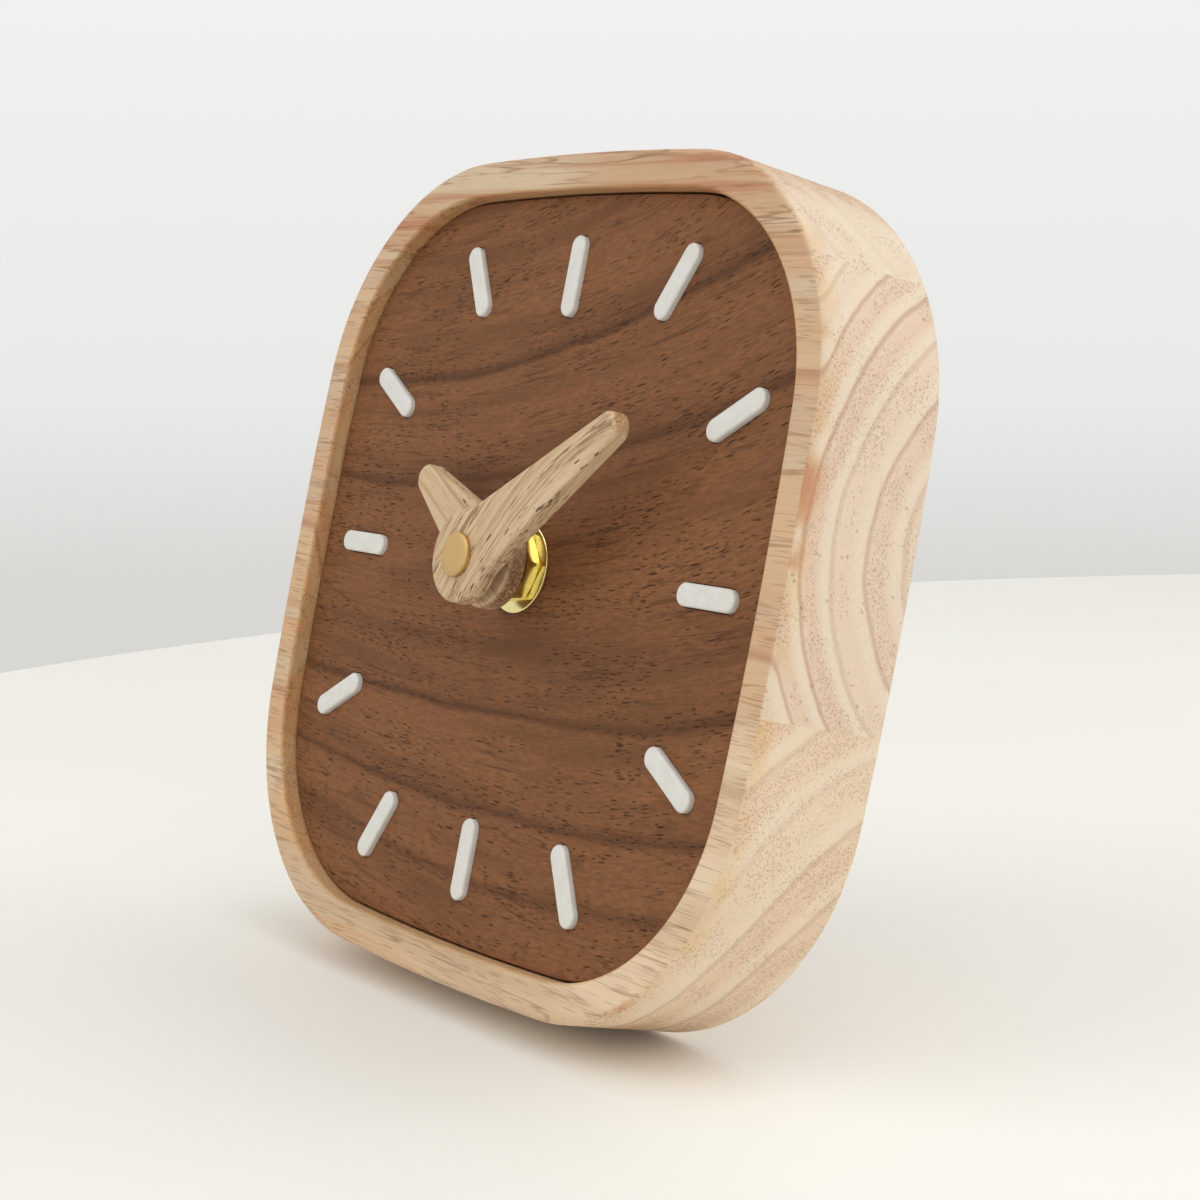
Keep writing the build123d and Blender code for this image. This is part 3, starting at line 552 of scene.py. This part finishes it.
def drillSocket(stave):
    # the socket is cut by a cylinder that starts behind the case
    radius, back = dowel["radius"] + dowel["glue"], -case["depth"]
    profile = [(radius, back - dowel["clear"]), (radius, back + dowel["inside"])]
    grid = lathe(profile, dowel["steps"], (0, dowel["height"]))
    cutter = makePiece("socket_cutter", grid, stave.data.materials[0])
    cut = stave.modifiers.new("socket", "BOOLEAN")
    cut.object, cut.operation, cut.solver = cutter, "DIFFERENCE", "EXACT"
    bpy.context.view_layer.update()
    evaluated = stave.evaluated_get(bpy.context.evaluated_depsgraph_get())
    mesh = bpy.data.meshes.new_from_object(evaluated)
    stave.modifiers.clear()
    stave.data = mesh
    mesh.set_sharp_from_angle(angle=math.radians(sharpAngle))
    bpy.data.objects.remove(cutter)


def buildDowel():
    tip, end = -case["depth"] - dowel["length"], -case["depth"] + dowel["inside"]
    radius, ease, hold = dowel["radius"], dowel["ease"], dowel["hold"]
    section = [(dowel["middle"], tip), (radius - ease - hold, tip)]
    section += roundOver((radius - ease, tip + ease), ease, dowel["easeSteps"], -90, 0)
    section += [(radius, z) for z in np.linspace(tip + ease + hold, end, dowel["rows"])]
    section += [(dowel["middle"], end)]
    finish = woodFinish("dowel_wood", {
        **paleWood, "turn": (0, 90, 0), "pith": (0.0, 70.0, 35.0), "firstRing": 0.0,
        "ringGap": 3.0, "early": tone(228, 204, 166), "late": tone(214, 182, 142),
        "warp": 3.0, "faceTint": None,
    })
    grid = lathe(section, dowel["steps"], (0, dowel["height"]))
    piece = makePiece("rear_dowel", grid, finish, cuts=[tablePlane])
    fit(piece, "case", "case_wood", "rear_peg")


buildCase()
buildDowel()
print("case done")

# Dial: the walnut plate keeps its CAD shape, with its slots' edges eased.

walnut = {
    "turn": (0, 0.4, -6.5), "pith": (0, 140, 22),
    "fan": (0.003, 0.0014, 0), "gloss": 0.12, "roughness": 0.55, "slowShare": 0.3,
    "warpScale": 0.02, "warp": 9, "wobbleScale": 0.12, "wobble": 2.4, "firstRing": 81.7,
    "ringGap": 120, "faintRing": 1,
    "ringBand": ((0, 0.3), (0.07, 0.1), (0.12, 0.7), (0.15, 0.1), (0.19, 0.4), (0.2, 0.9),
                 (0.24, 0.2), (0.30, 0.2), (0.315, 0.9), (0.36, 0.3), (0.40, 0.6), (0.42, 0.7),
                 (0.47, 0.1), (0.56, 0.4), (0.61, 0.4), (0.63, 0.9), (0.68, 0.2), (0.76, 0.4),
                 (0.775, 0.9), (0.83, 0.1), (0.92, 0.4), (1, 0.3)),
    "ringLine": ((0, 0), (0.118, 0), (0.125, 0.6), (0.135, 0), (0.192, 0), (0.2, 0.8),
                 (0.21, 0), (0.305, 0), (0.312, 0.9), (0.325, 0), (0.4, 0.3), (0.41, 0),
                 (0.615, 0), (0.622, 0.9), (0.637, 0), (0.76, 0), (0.767, 1),
                 (0.782, 0), (1, 0)),
    "early": tone(145, 97, 63), "late": tone(112, 72, 45), "line": tone(66, 40, 25),
    "bandStrength": 0.5, "lineStrength": 0.7,
    "streak": tone(104, 68, 42), "streakNoise": (0.1, 0.2, 3, 0.6),
    "streakRange": (0.45, 0.72), "streakStrength": 0.55,
    "fibreNoise": (0.2, 2.6, 4, 0.65), "fibre": 0.36, "fibreDepth": 0.07,
    "vein": tone(80, 50, 31), "veinNoise": (0.06, 0.3, 2, 0.6), "veinWidth": 0.02,
    "veinStrength": 0.6, "pore": tone(62, 36, 21), "poreDepth": 0.09, "crowdScale": 0.17,
    "crowding": 3.6, "bandPores": 0.35,
    "pores": ((0.34, 13, 0.07, 0.2, 0.8), (0.42, 6, 0.085, 0.16, 0.75),
              (0.6, 9, 0.1, 0.08, 0.9)),
}


def easeEdges(node, width, finish, sharp=30.0):
    # a CAD node keeps its mesh; live modifiers join its triangles and ease its edges
    part = frame["nodes"][node]
    weld = part.modifiers.new("weld", "WELD")
    weld.merge_threshold = weldDistance
    ease = part.modifiers.new("ease", "BEVEL")
    ease.width, ease.segments = width * millimetre, 2
    ease.limit_method, ease.angle_limit = "ANGLE", math.radians(sharp)
    ease.use_clamp_overlap, ease.miter_outer = False, "MITER_ARC"
    paint(node, finish)


def paint(node, finish):
    # a CAD node takes its finish in its own material slots
    part = frame["nodes"][node]
    if not part.material_slots:
        part.data.materials.append(finish)
    for slot in part.material_slots:
        slot.material = finish


slotEase = 0.14
easeEdges("dial_plate", slotEase, woodFinish("dial_walnut", walnut))

# Hour markers: white capsules with rounded shoulders, seated in the dial's slots.

markers = {"count": 12, "length": 12.3, "width": 3.3, "bottom": -3.8, "top": -1.7,
           "round": 0.38, "hold": 0.2, "crown": 0.04, "ridge": 0.1, "quarterRadius": 44.1,
           "otherRadius": 49.9, "endSteps": 20, "roundSteps": 7, "crownShares": (0.7, 0.35, 0)}


def capsule(inset, level):
    # two half circles joined by straight sides, all set in by the same amount
    radius = markers["width"] / 2 - inset
    reach = (markers["length"] - markers["width"]) / 2
    turn = np.linspace(-np.pi / 2, np.pi / 2, markers["endSteps"])
    right = [reach, 0] + radius * heading(turn)
    return atLevel(np.concatenate([right, -right]), level)


def markerGrid(hour):
    # the capsule's wall, its round shoulder and its faintly crowned top, turned to its hour;
    # the crown's rise is crown (1 - share^2), with the share of the way out from the ridge
    soft, crown = markers["round"], markers["crown"]
    top, ridge = markers["top"] - crown, markers["width"] / 2 - markers["ridge"]
    section = [(0.0, markers["bottom"]), (0.0, top - soft - markers["hold"])]
    section += roundOver((soft, top - soft), soft, markers["roundSteps"], 180, 90)
    section += [(ridge - (ridge - soft) * share, top + crown * (1 - share**2))
                for share in markers["crownShares"]]
    rows = np.array([capsule(inset, level) for inset, level in section])
    rows[..., 0] += markers["quarterRadius" if hour % 3 == 0 else "otherRadius"]
    return turned(rows, 90 - hour * 360 / markers["count"])


white = evenFinish("marker_white", {
    "tones": (tone(232, 230, 224), tone(225, 223, 215)), "share": 1.0, "cloud": (0.5, 3.0, 0.6),
    "cloudDepth": 0.012, "grain": 5.0, "depth": 0.006, "roughness": 0.42, "swing": 0.18,
})
for hour in range(1, markers["count"] + 1):
    node = f"marker_{hour:02d}"
    fit(makePiece(f"hour_marker_{hour:02d}", markerGrid(hour), white), "case", "marker_white",
        node)
print("dial done")

# Hands: a round hub and a narrower tip, joined by straight sides with hollowed roots.

hands = {
    "hour_hand": {"body": "hour_work", "length": 24.9, "root": 6.1, "tip": 2.3, "bore": 3.4,
                  "angle": 299, "back": 1.6, "bushHole": 2.5},
    "minute_hand": {"body": "minute_work", "length": 38, "root": 5.8, "tip": 2.3,
                    "bore": 2.55, "angle": 55, "back": 6.2, "bushHole": 1.65},
}
handShape = {"hub": 7, "hollow": 6, "thickness": 2.8, "topRound": 0.8, "lowRound": 0.35,
             "faceHold": 0.3, "sideHold": 0.2, "steps": 28, "lowSteps": 4, "topSteps": 8}


def arc(centre, radius, start, end, steps, side=1):
    # points of an arc, and the ways out of the wood there, inward where the arc is hollow
    out = heading(np.linspace(start, end, steps, endpoint=False))
    return centre + radius * out, side * out


def handOutline(length, root, tip):
    # points and ways out, anticlockwise: tip, straight side, hollow root, hub, and mirrored
    hub, hollow, steps = handShape["hub"], handShape["hollow"], handShape["steps"]
    far = np.array([length - tip, 0.0])
    run = math.sqrt(far[0]**2 + root**2 - tip**2)
    slope = math.atan2(tip, run) - math.atan2(root, far[0])
    squareAngle = slope + math.pi / 2
    along, square = heading(slope), heading(squareAngle)
    lift = hollow + root * along[0]
    centre = square * lift + along * math.sqrt((hub + hollow) ** 2 - lift**2)
    hubAngle = math.atan2(centre[1], centre[0])
    start, end = far + tip * square, centre - hollow * square
    side = start + (end - start) * np.linspace(0, 1, steps, endpoint=False)[:, None]
    runs = [
        arc(far, tip, 0.0, squareAngle, steps // 2),
        (side, np.broadcast_to(square, side.shape)),
        arc(centre, hollow, squareAngle - math.pi, hubAngle - math.pi, steps // 2, -1),
        arc(np.zeros(2), hub, hubAngle, math.pi, steps),
        (np.array([[-hub, 0.0]]), np.array([[-1.0, 0.0]])),
    ]
    halves = [np.concatenate(half) for half in zip(*runs)]
    return [np.concatenate([half, (half[1:-1] * np.array([1, -1]))[::-1]]) for half in halves]


def handGrid(hand):
    # the hand's section (inset, level) carried round its outline, closed through its bore
    points, ways = handOutline(hand["length"], hand["root"], hand["tip"])
    bottom, top = hand["back"], hand["back"] + handShape["thickness"]
    low, high = handShape["lowRound"], handShape["topRound"]
    hold, faceHold = handShape["sideHold"], handShape["faceHold"]
    section = [(low + faceHold, bottom)]
    section += roundOver((low, bottom + low), low, handShape["lowSteps"], 270, 180)
    section += [(0.0, bottom + low + hold), (0.0, top - high - hold)]
    section += roundOver((high, top - high), high, handShape["topSteps"], 180, 90)
    section += [(high + faceHold, top)]
    bore = hand["bore"] * points / np.linalg.norm(points, axis=1)[:, None]
    rows = [atLevel(points - ways * inset, z) for inset, z in section]
    return turned(np.array(rows + [atLevel(bore, z) for z in (top, bottom)]), 90 - hand["angle"])


paleOak = {
    "gloss": 0.3, "roughness": 0.58, "slowShare": 0.10, "warpScale": 0.06, "warp": 3.2,
    "wobbleScale": 0.35, "wobble": 0.5, "faintRing": 0.5,
    "ringBand": ((0, 0), (0.3, 0.1), (0.8, 0.7), (0.94, 1), (1, 0)),
    "ringLine": ((0, 0.3), (0.08, 0), (0.8, 0), (0.94, 1), (1, 0.3)),
    "early": tone(225, 197, 160), "late": tone(208, 172, 132), "line": tone(164, 120, 82),
    "bandStrength": 0.7, "lineStrength": 0.5,
    "streak": tone(190, 150, 108), "streakNoise": (0.05, 0.35, 3, 0.6),
    "streakRange": (0.5, 0.75), "streakStrength": 0.35,
    "fibreNoise": (0.05, 3.6, 4, 0.65), "fibre": 0.16, "fibreDepth": 0.05,
    "vein": tone(132, 90, 56), "veinNoise": (0.05, 1.25, 2, 0.6), "veinWidth": 0.045,
    "veinStrength": 1, "pore": tone(84, 50, 28), "poreDepth": 0.12, "crowdScale": 0.2,
    "crowding": 0.6, "bandPores": 0.1,
    "pores": ((0.36, 9, 0.07, 0.08, 0.8), (0.8, 4.5, 0.14, 0.12, 0.9)),
}
handLooks = {
    "hour_hand": {"pith": (0, 14, 9), "firstRing": 0, "ringGap": 2.6,
                  "poreSide": (-0.05, 0.55), "streakStrength": 0.15, "veinStrength": 0.35,
                  # painted shade: this dark end tint stands in for the minute hand's shadow on
                  # the hour hub
                  "endGrainAndShadeTint": (0.38, 0.25, 0.17, 1)},
    "minute_hand": {"pith": (0, 11, -4), "firstRing": 0.4, "ringGap": 2.3,
                    "poreSide": (-0.16, 1.5), "sweep": (0, -0.009, 0.5),
                    "endGrainAndShadeTint": (0.84, 0.72, 0.60, 1)},
}
for node, hand in hands.items():
    angle = math.radians(hand["angle"])
    along = {"turn": (0, 0, hand["angle"] - 90),
             "axis": direction((math.sin(angle), math.cos(angle), 0))}
    finish = woodFinish(node + "_oak", {**paleOak, **handLooks[node], **along})
    piece = makePiece("wooden_" + node, handGrid(hand), finish, closeRows=True)
    fit(piece, hand["body"], "hand_wood", node)

# Brass: the cap, the bushes, the washer, the nut and the collar it screws on.

cap = {"radius": 3.3, "skirt": 2.3, "bore": 1.1, "middle": 0.4, "skirtBack": 8.2, "back": 9,
       "front": 9.8, "round": 0.22, "backRound": 0.05, "faceRing": 2, "steps": 96,
       "roundSteps": 5, "sharp": 40}
washer = {"radius": 6.9, "bore": 4.15, "back": -2.6, "front": -2, "round": 0.16, "steps": 128}
nut = {"acrossFlats": 10, "bore": 4, "back": -2, "front": 0, "turn": 7.5,
       "flatTop": 4.86, "slope": 28, "cornerRound": 0.12, "chamfer": 0.25, "steps": 240,
       "sharp": 18}
collar = {"radius": 4, "bore": 2.55, "flangeRadius": 5.5, "flange": 0.7, "back": -7.3,
          "front": 0.6, "pitch": 0.75, "threadDepth": 0.34, "fade": 0.3, "chamfer": 0.15,
          "steps": 96, "levels": 74, "sharp": 40}
bushShape = {"flangeRadius": 4.7, "flange": 0.45, "sleeve": 2, "flat": 1.35, "round": 0.12,
             "steps": 96, "sharp": 40}
ringSteps = 4  # points on each round of the washer and of the bushes' flanges
brassLook = {"share": 0.14, "cloud": (0.9, 3, 0.6), "grain": 9, "depth": 0.0004,
             "swing": 0.1, "metallic": 1}
polishedBrass = evenFinish("polished_brass", {
    **brassLook, "tones": (tone(248, 234, 166), tone(170, 132, 64)), "roughness": 0.2})
satinBrass = evenFinish("satin_brass", {
    **brassLook, "tones": (tone(205, 172, 116), tone(170, 132, 64)), "roughness": 0.42})


def discProfile(bore, radius, back, front, soft):
    # a ring's section with its two outer corners rounded
    return [(bore, back), *roundOver((radius - soft, back + soft), soft, ringSteps, -90, 0),
            *roundOver((radius - soft, front - soft), soft, ringSteps, 0, 90), (bore, front)]


def buildCap():
    # the flat head, and the skirt that screws on the shaft's stud
    radius, back, front = cap["radius"], cap["back"], cap["front"]
    soft, ease, skirtBack = cap["round"], cap["backRound"], cap["skirtBack"]
    section = [(cap["middle"], back), (cap["bore"], back), (cap["bore"], skirtBack),
               (cap["skirt"], skirtBack), (cap["skirt"], back), (radius - ease, back),
               (radius, back + ease)]
    section += roundOver((radius - soft, front - soft), soft, cap["roundSteps"], 0, 90)
    section += [(cap["faceRing"], front), (cap["middle"], front)]
    return makePiece("brass_cap", lathe(section, cap["steps"]), satinBrass, sharp=cap["sharp"])


def buildWasher():
    section = discProfile(washer["bore"], washer["radius"], washer["back"], washer["front"],
                          washer["round"])
    return makePiece("brass_washer", lathe(section, washer["steps"]), polishedBrass,
                     closeRows=True)


def buildNut():
    # a hexagon with eased corners, both its faces chamfered by a cone: the surface follows the
    # cone out to the hexagon, drops down the flats and goes back along the cone; a flat is
    # flat / cos(away) from the axis, and the cone falls at the slope's angle
    turn = wholeTurn(nut["steps"])
    flat, flatTop, side = nut["acrossFlats"] / 2, nut["flatTop"], np.pi / 3
    bore, chamfer = nut["bore"], nut["chamfer"]
    away = (turn - math.radians(nut["turn"]) + side / 2) % side - side / 2
    away = side / 2 - np.abs(away)
    reach = np.minimum(flat / np.cos(away), flat / math.cos(side / 2) - nut["cornerRound"])
    drop = np.maximum(reach - flatTop, 0) * math.tan(math.radians(nut["slope"]))
    upper = [(flatTop + (reach - flatTop) * share, nut["front"] - drop * share)
             for share in (0.0, 0.5, 1.0)]
    lower = [(radius, nut["back"] + nut["front"] - level) for radius, level in upper[::-1]]
    rows = [(bore, nut["front"] - chamfer), (bore + chamfer, nut["front"]), *upper, *lower,
            (bore, nut["back"])]
    grid = np.array([ringPoints(radius, level, turn) for radius, level in rows])
    return makePiece("hexagon_nut", grid, polishedBrass, closeRows=True, sharp=nut["sharp"])


def buildCollar():
    # a thread on a tube: the radius falls and rises once a pitch and shifts one pitch a turn,
    # radius - depth |2 fract(level / pitch - turn / whole turn) - 1|, and fades out in front
    turn, steps = wholeTurn(collar["steps"]), collar["steps"]
    bore, front, chamfer = collar["bore"], collar["front"], collar["chamfer"]
    start = collar["back"] + collar["flange"]
    levels = np.linspace(start, front, collar["levels"])[:, None]
    wave = np.abs(2 * ((levels / collar["pitch"] - turn / (2 * np.pi)) % 1.0) - 1)
    fade = np.clip((front - levels) / collar["fade"], 0, 1)
    radius = collar["radius"] - collar["threadDepth"] * (wave * fade + 1 - fade)
    low = lathe([(bore, collar["back"]), (collar["flangeRadius"], collar["back"]),
                 (collar["flangeRadius"], start)], steps)
    high = lathe([(bore + chamfer, front), (bore, front - chamfer)], steps)
    grid = np.concatenate([low, ringPoints(radius, levels, turn), high])
    return makePiece("threaded_tube", grid, polishedBrass, closeRows=True,
                     sharp=collar["sharp"])


def buildBush(node, hand):
    # a flange behind the hand and a sleeve in its bore; the minute bush has two flats
    turn = wholeTurn(bushShape["steps"])
    hole = np.full(len(turn), hand["bushHole"])
    if node == "minute_hand":
        hole = np.minimum(hole, bushShape["flat"] / np.maximum(np.abs(np.sin(turn)), 1e-6))
    back, top = hand["back"] - bushShape["flange"], hand["back"] + bushShape["sleeve"]
    section = discProfile(hand["bore"], bushShape["flangeRadius"], back, hand["back"],
                          bushShape["round"])
    outer = lathe(section[1:] + [(hand["bore"], top)], len(turn))
    inner = [ringPoints(hole, z, turn) for z in (top, back)]
    grid = np.concatenate([outer, inner])
    return makePiece(f"brass_{node}_bush", grid, polishedBrass, closeRows=True,
                     sharp=bushShape["sharp"])


fit(buildCap(), "minute_work", "brass", "hand_cap")
fit(buildWasher(), "case", "brass", "flat_washer")
fit(buildNut(), "case", "brass", "hex_nut")
fit(buildCollar(), "case", "brass", "threaded_collar")
for node, hand in hands.items():
    fit(buildBush(node, hand), hand["body"], "brass", node + "_bush")
print("hands and brass done")

# The movement behind the dial: CAD nodes with finishes, their moulded edges eased.

mouldedLook = {"share": 1, "cloud": (0.12, 2, 0.5), "swing": 0.2}
mouldedTones = {  # two tones, roughness, fineness of the grain and its depth in millimetres
    "black_plastic": ((44, 44, 47), (52, 52, 55), 0.5, 3.5, 0.02),
    "wheel_plastic": ((226, 222, 210), (216, 212, 198), 0.4, 4, 0.006),
    "bobbin_plastic": ((205, 203, 192), (196, 193, 180), 0.45, 4, 0.008),
    "gasket_rubber": ((34, 34, 35), (42, 42, 43), 0.75, 2.5, 0.02),
    "chip_resin": ((22, 22, 24), (30, 30, 32), 0.22, 1.5, 0.02),
}
plain = {}
for name, (first, second, roughness, grain, depth) in mouldedTones.items():
    plain[name] = evenFinish(name, {**mouldedLook, "tones": (tone(*first), tone(*second)),
                                    "roughness": roughness, "grain": grain, "depth": depth})
plain["spring_steel"] = steelFinish("spring_steel", tone(212, 211, 206), 0.3, 14.0)
plain["motor_iron"] = steelFinish("motor_iron", tone(176, 176, 178), 0.38, 8.0)
plain["polished_brass"] = polishedBrass


def boardFinish():
    # laminate with its weave, and tinned tracks where broad cells meet
    w = Finish("circuit_resin", Roughness=0.45)
    point = w.bench()
    threads = w.place(point, scale=(9, 9, 9))
    weave = w.product(*(w.calc("SINE", w.along(threads, axis)) for axis in (0, 1)))
    cells = w.add("ShaderNodeTexVoronoi", 0, {"Vector": point, "Scale": 0.4},
                  feature="DISTANCE_TO_EDGE")
    track = w.rise(cells, 0.10, 0.13, 1.0, 0.0)
    shade = w.mix(w.rise(weave, -1, 1, 0.0, 0.3), tone(150, 116, 62), tone(120, 90, 46))
    shade = w.mix(track, shade, tone(196, 160, 84))
    return w.done(Base_Color=shade, Normal=w.bump(track, 0.03, Normal=w.bump(weave, 0.01)))


wireWidth = 0.16  # millimetres


def windingFinish():
    # enamelled copper wire, one turn beside the other along X, with painted shade between turns
    # and a painted highlight on each crown
    w = Finish("copper_wire", Metallic=1.0, Roughness=0.3)
    turns = w.calc("SINE", w.product(w.along(w.bench(), 0), math.pi / wireWidth))
    turns = w.calc("ABSOLUTE", turns)
    # painted shade in the grooves, painted highlight on the crowns
    shade = w.mix(turns, tone(120, 62, 34), tone(204, 122, 78))
    rough = w.rise(turns, 0.0, 1.0, 0.5, 0.25)
    return w.done(Base_Color=shade, Roughness=rough, Normal=w.bump(turns, 0.06))


nodesByFinish = {
    "gasket_rubber": ("sealing_gasket",),
    "spring_steel": ("positive_contact", "negative_contact", "quartz_crystal"),
    "motor_iron": ("stator_plate", "coil_core", "rotor_magnet"),
    "bobbin_plastic": ("coil_bobbin",),
    "chip_resin": ("chip_blob",),
    "wheel_plastic": ("rotor_pinion", "intermediate_wheel", "seconds_wheel", "third_wheel",
                      "motion_wheel"),
    "polished_brass": ("centre_wheel", "clutch_ring", "minute_shaft", "hour_wheel"),
}
for name, nodes in nodesByFinish.items():
    for node in nodes:
        paint(node, plain[name])
paint("circuit_board", boardFinish())
paint("coil_winding", windingFinish())
eased = {"movement_shell": (0.15, 30), "movement_cover": (0.2, 30),
         "setting_knob": (0.12, 25)}  # width, and the sharp angle from which it is eased
for node, (width, sharp) in eased.items():
    easeEdges(node, width, plain["black_plastic"], sharp)

# The battery: a steel can in a plain jacket that is shrunk over its ends.

cell = {"radius": 7.1, "left": -26.4, "right": 24.1, "height": -19.45, "level": -14.2,
        "nubRadius": 2.7, "nub": 1.3, "nubRound": 0.4, "nubStart": -72.811, "middle": 0.3,
        "round": 0.5, "hold": 0.3, "bandEnd": -12.4, "steelRadius": 5.35, "steps": 96, "rows": 12,
        "roundSteps": 5, "sharp": 50,
        # the ends beside the round: (radius, how far past the shoulder or the right end)
        "nubSide": ((2.7, -0.1), (2.8, 0), (5, 0), (5.3, 0), (5.5, -0.08), (6.2, 0)),
        "flatSide": ((6.2, 0), (6, -0.15), (5, -0.15), (0.3, -0.15))}


def buildBattery():
    # the section (radius, place along the cell) turned round its axis, which lies along X
    radius, soft, steps = cell["radius"], cell["round"], cell["roundSteps"]
    hold = soft + cell["hold"]
    left, right, shoulder = cell["left"], cell["right"], cell["left"] + cell["nub"]
    nub, nubSoft = cell["nubRadius"] - cell["nubRound"], cell["nubRound"]
    section = [(cell["middle"], left), (nub, left)]
    section += roundOver((nub, left + nubSoft), nubSoft, steps, cell["nubStart"], 0)
    section += [(out, shoulder + past) for out, past in cell["nubSide"]]
    section += roundOver((radius - soft, shoulder + soft), soft, steps, -90, 0)
    section += [(radius, x) for x in np.linspace(shoulder + hold, right - hold, cell["rows"])]
    section += roundOver((radius - soft, right - soft), soft, steps, 0, 90)
    section += [(out, right + past) for out, past in cell["flatSide"]]
    grid = lathe(section, cell["steps"])[..., [2, 0, 1]] + [0, cell["height"], cell["level"]]
    return makePiece("battery_cell", grid, cellFinish(), sharp=cell["sharp"])


def cellFinish():
    # dark jacket and a copper band, with bare steel at both ends, told apart by the place
    w = Finish("battery_jacket", Roughness=0.28)
    point = w.bench()
    out = w.fromAxis(w.vector("SUBTRACT", point, (0, cell["height"], cell["level"])))
    steel = w.calc("LESS_THAN", out, cell["steelRadius"])
    band = w.calc("LESS_THAN", w.along(point, 0), cell["bandEnd"])
    fine = w.noise(point, 3.0, 3.0, 0.6)
    shade = w.mix(band, tone(34, 38, 44), tone(176, 116, 66))
    shade = w.mix(steel, shade, tone(200, 199, 196))
    rough = w.calc("MULTIPLY_ADD", fine, 0.14, 0.24)
    return w.done(Base_Color=shade, Metallic=steel, Roughness=rough, Normal=w.bump(fine, 0.01))


fit(buildBattery(), "case", "battery_jacket", "battery")
print("movement done")

# The table, the light and the camera. Sizes in metres.

tableTop = {"centre": (0.19, 0.228), "radius": 0.558, "thickness": 0.022, "round": 0.004,
            "hold": 0.002, "middle": 0.001, "lift": 0.02, "steps": 256,
            "roundSteps": 6, "sharp": 40}
room = {"light": (1, 0.995, 0.985, 1), "strength": 0.57, "wallFrom": -0.12, "wallTo": 0.12,
        # painted shade: the wall's grey darkens just above the table
        "wall": ((0, tone(216, 215, 212)), (0.3, tone(233, 233, 231)),
                 (1, tone(241, 241, 241)))}
lamps = {
    "window_light": {"place": (0.58, 0.22, 0.88), "aim": (0, 0, 0.06), "size": 1.5,
                     "power": 7.1, "colour": (1, 0.985, 0.96)},
    "room_light": {"place": (-0.35, -0.85, 0.75), "aim": (0, 0, 0.06), "size": 0.9,
                   "power": 2.9, "colour": (1, 0.99, 0.98)},
}
viewpoint = {"place": (0.295926, -0.208508, 0.106712), "aim": (0.008704, 0.004842, 0.060220),
             "lens": 73.15, "sensor": 36, "near": 0.01, "far": 20}


def buildTable():
    # a round white top; its surface is the table's plane
    w = Finish("table_white", Roughness=0.6, Specular_IOR_Level=0.3,
               Emission_Color=tone(255, 254, 250))
    cloud = w.noise(w.coordinates("Object"), 5.0, 3.0, 0.5)
    shade = w.mix(w.rise(cloud, 0.3, 0.7), tone(248, 247, 241), tone(245, 244, 237))
    lift = w.product(w.add("ShaderNodeLightPath", "Is Camera Ray", {}), tableTop["lift"])
    finish = w.done(Base_Color=shade, Emission_Strength=lift)
    radius, soft, middle = tableTop["radius"], tableTop["round"], tableTop["middle"]
    section = [(middle, 0.0), (radius - soft - tableTop["hold"], 0.0)]
    section += roundOver((radius - soft, -soft), soft, tableTop["roundSteps"], 90, 0)
    section += [(radius, -tableTop["thickness"]), (middle, -tableTop["thickness"])]
    mesh = closedMesh("table", lathe(section, tableTop["steps"], tableTop["centre"]))
    finishPiece("table", mesh, finish, tableTop["sharp"])


def buildWorld():
    # even grey light, with a pale wall that only the camera, glossy and clear rays see; the wall
    # darkens towards the table, a painted shade
    world = bpy.data.worlds.new("room")
    scene.world = world
    world.use_nodes = True
    w = Wiring(world.node_tree)
    w.tree.nodes.clear()
    height = w.along(w.coordinates("Generated"), 2)
    height = w.add("ShaderNodeMapRange", 0, {0: height, 1: room["wallFrom"], 2: room["wallTo"]})
    seen = 0.0
    for kind in ("Camera", "Glossy", "Transmission"):
        seen = w.calc("MAXIMUM", w.add("ShaderNodeLightPath", f"Is {kind} Ray", {}), seen)
    even = w.add("ShaderNodeBackground", 0, {0: room["light"], 1: room["strength"]})
    wall = w.add("ShaderNodeBackground", 0, {0: w.ramp(height, room["wall"])})
    both = w.add("ShaderNodeMixShader", 0, {0: seen, 1: even, 2: wall})
    w.tree.links.new(both, w.tree.nodes.new("ShaderNodeOutputWorld").inputs[0])


def aimed(name, data, look):
    # a lamp or camera in the scene, at its place and turned to what it looks at
    holder = bpy.data.objects.new(name, data)
    holder.location = look["place"]
    way = Vector(look["aim"]) - Vector(look["place"])
    holder.rotation_euler = way.to_track_quat("-Z", "Y").to_euler()
    scene.collection.objects.link(holder)
    return holder


def buildLights():
    for name, lamp in lamps.items():
        light = bpy.data.lights.new(name, "AREA")
        light.energy, light.size, light.color = lamp["power"], lamp["size"], lamp["colour"]
        aimed(name, light, lamp)


def buildCamera():
    lens = bpy.data.cameras.new("camera")
    lens.lens, lens.sensor_width = viewpoint["lens"], viewpoint["sensor"]
    lens.clip_start, lens.clip_end = viewpoint["near"], viewpoint["far"]
    scene.camera = aimed("camera", lens, viewpoint)


buildTable()
buildWorld()
buildLights()
buildCamera()
scene.view_settings.view_transform = "Standard"
print("stage done")

bpy.context.view_layer.update()
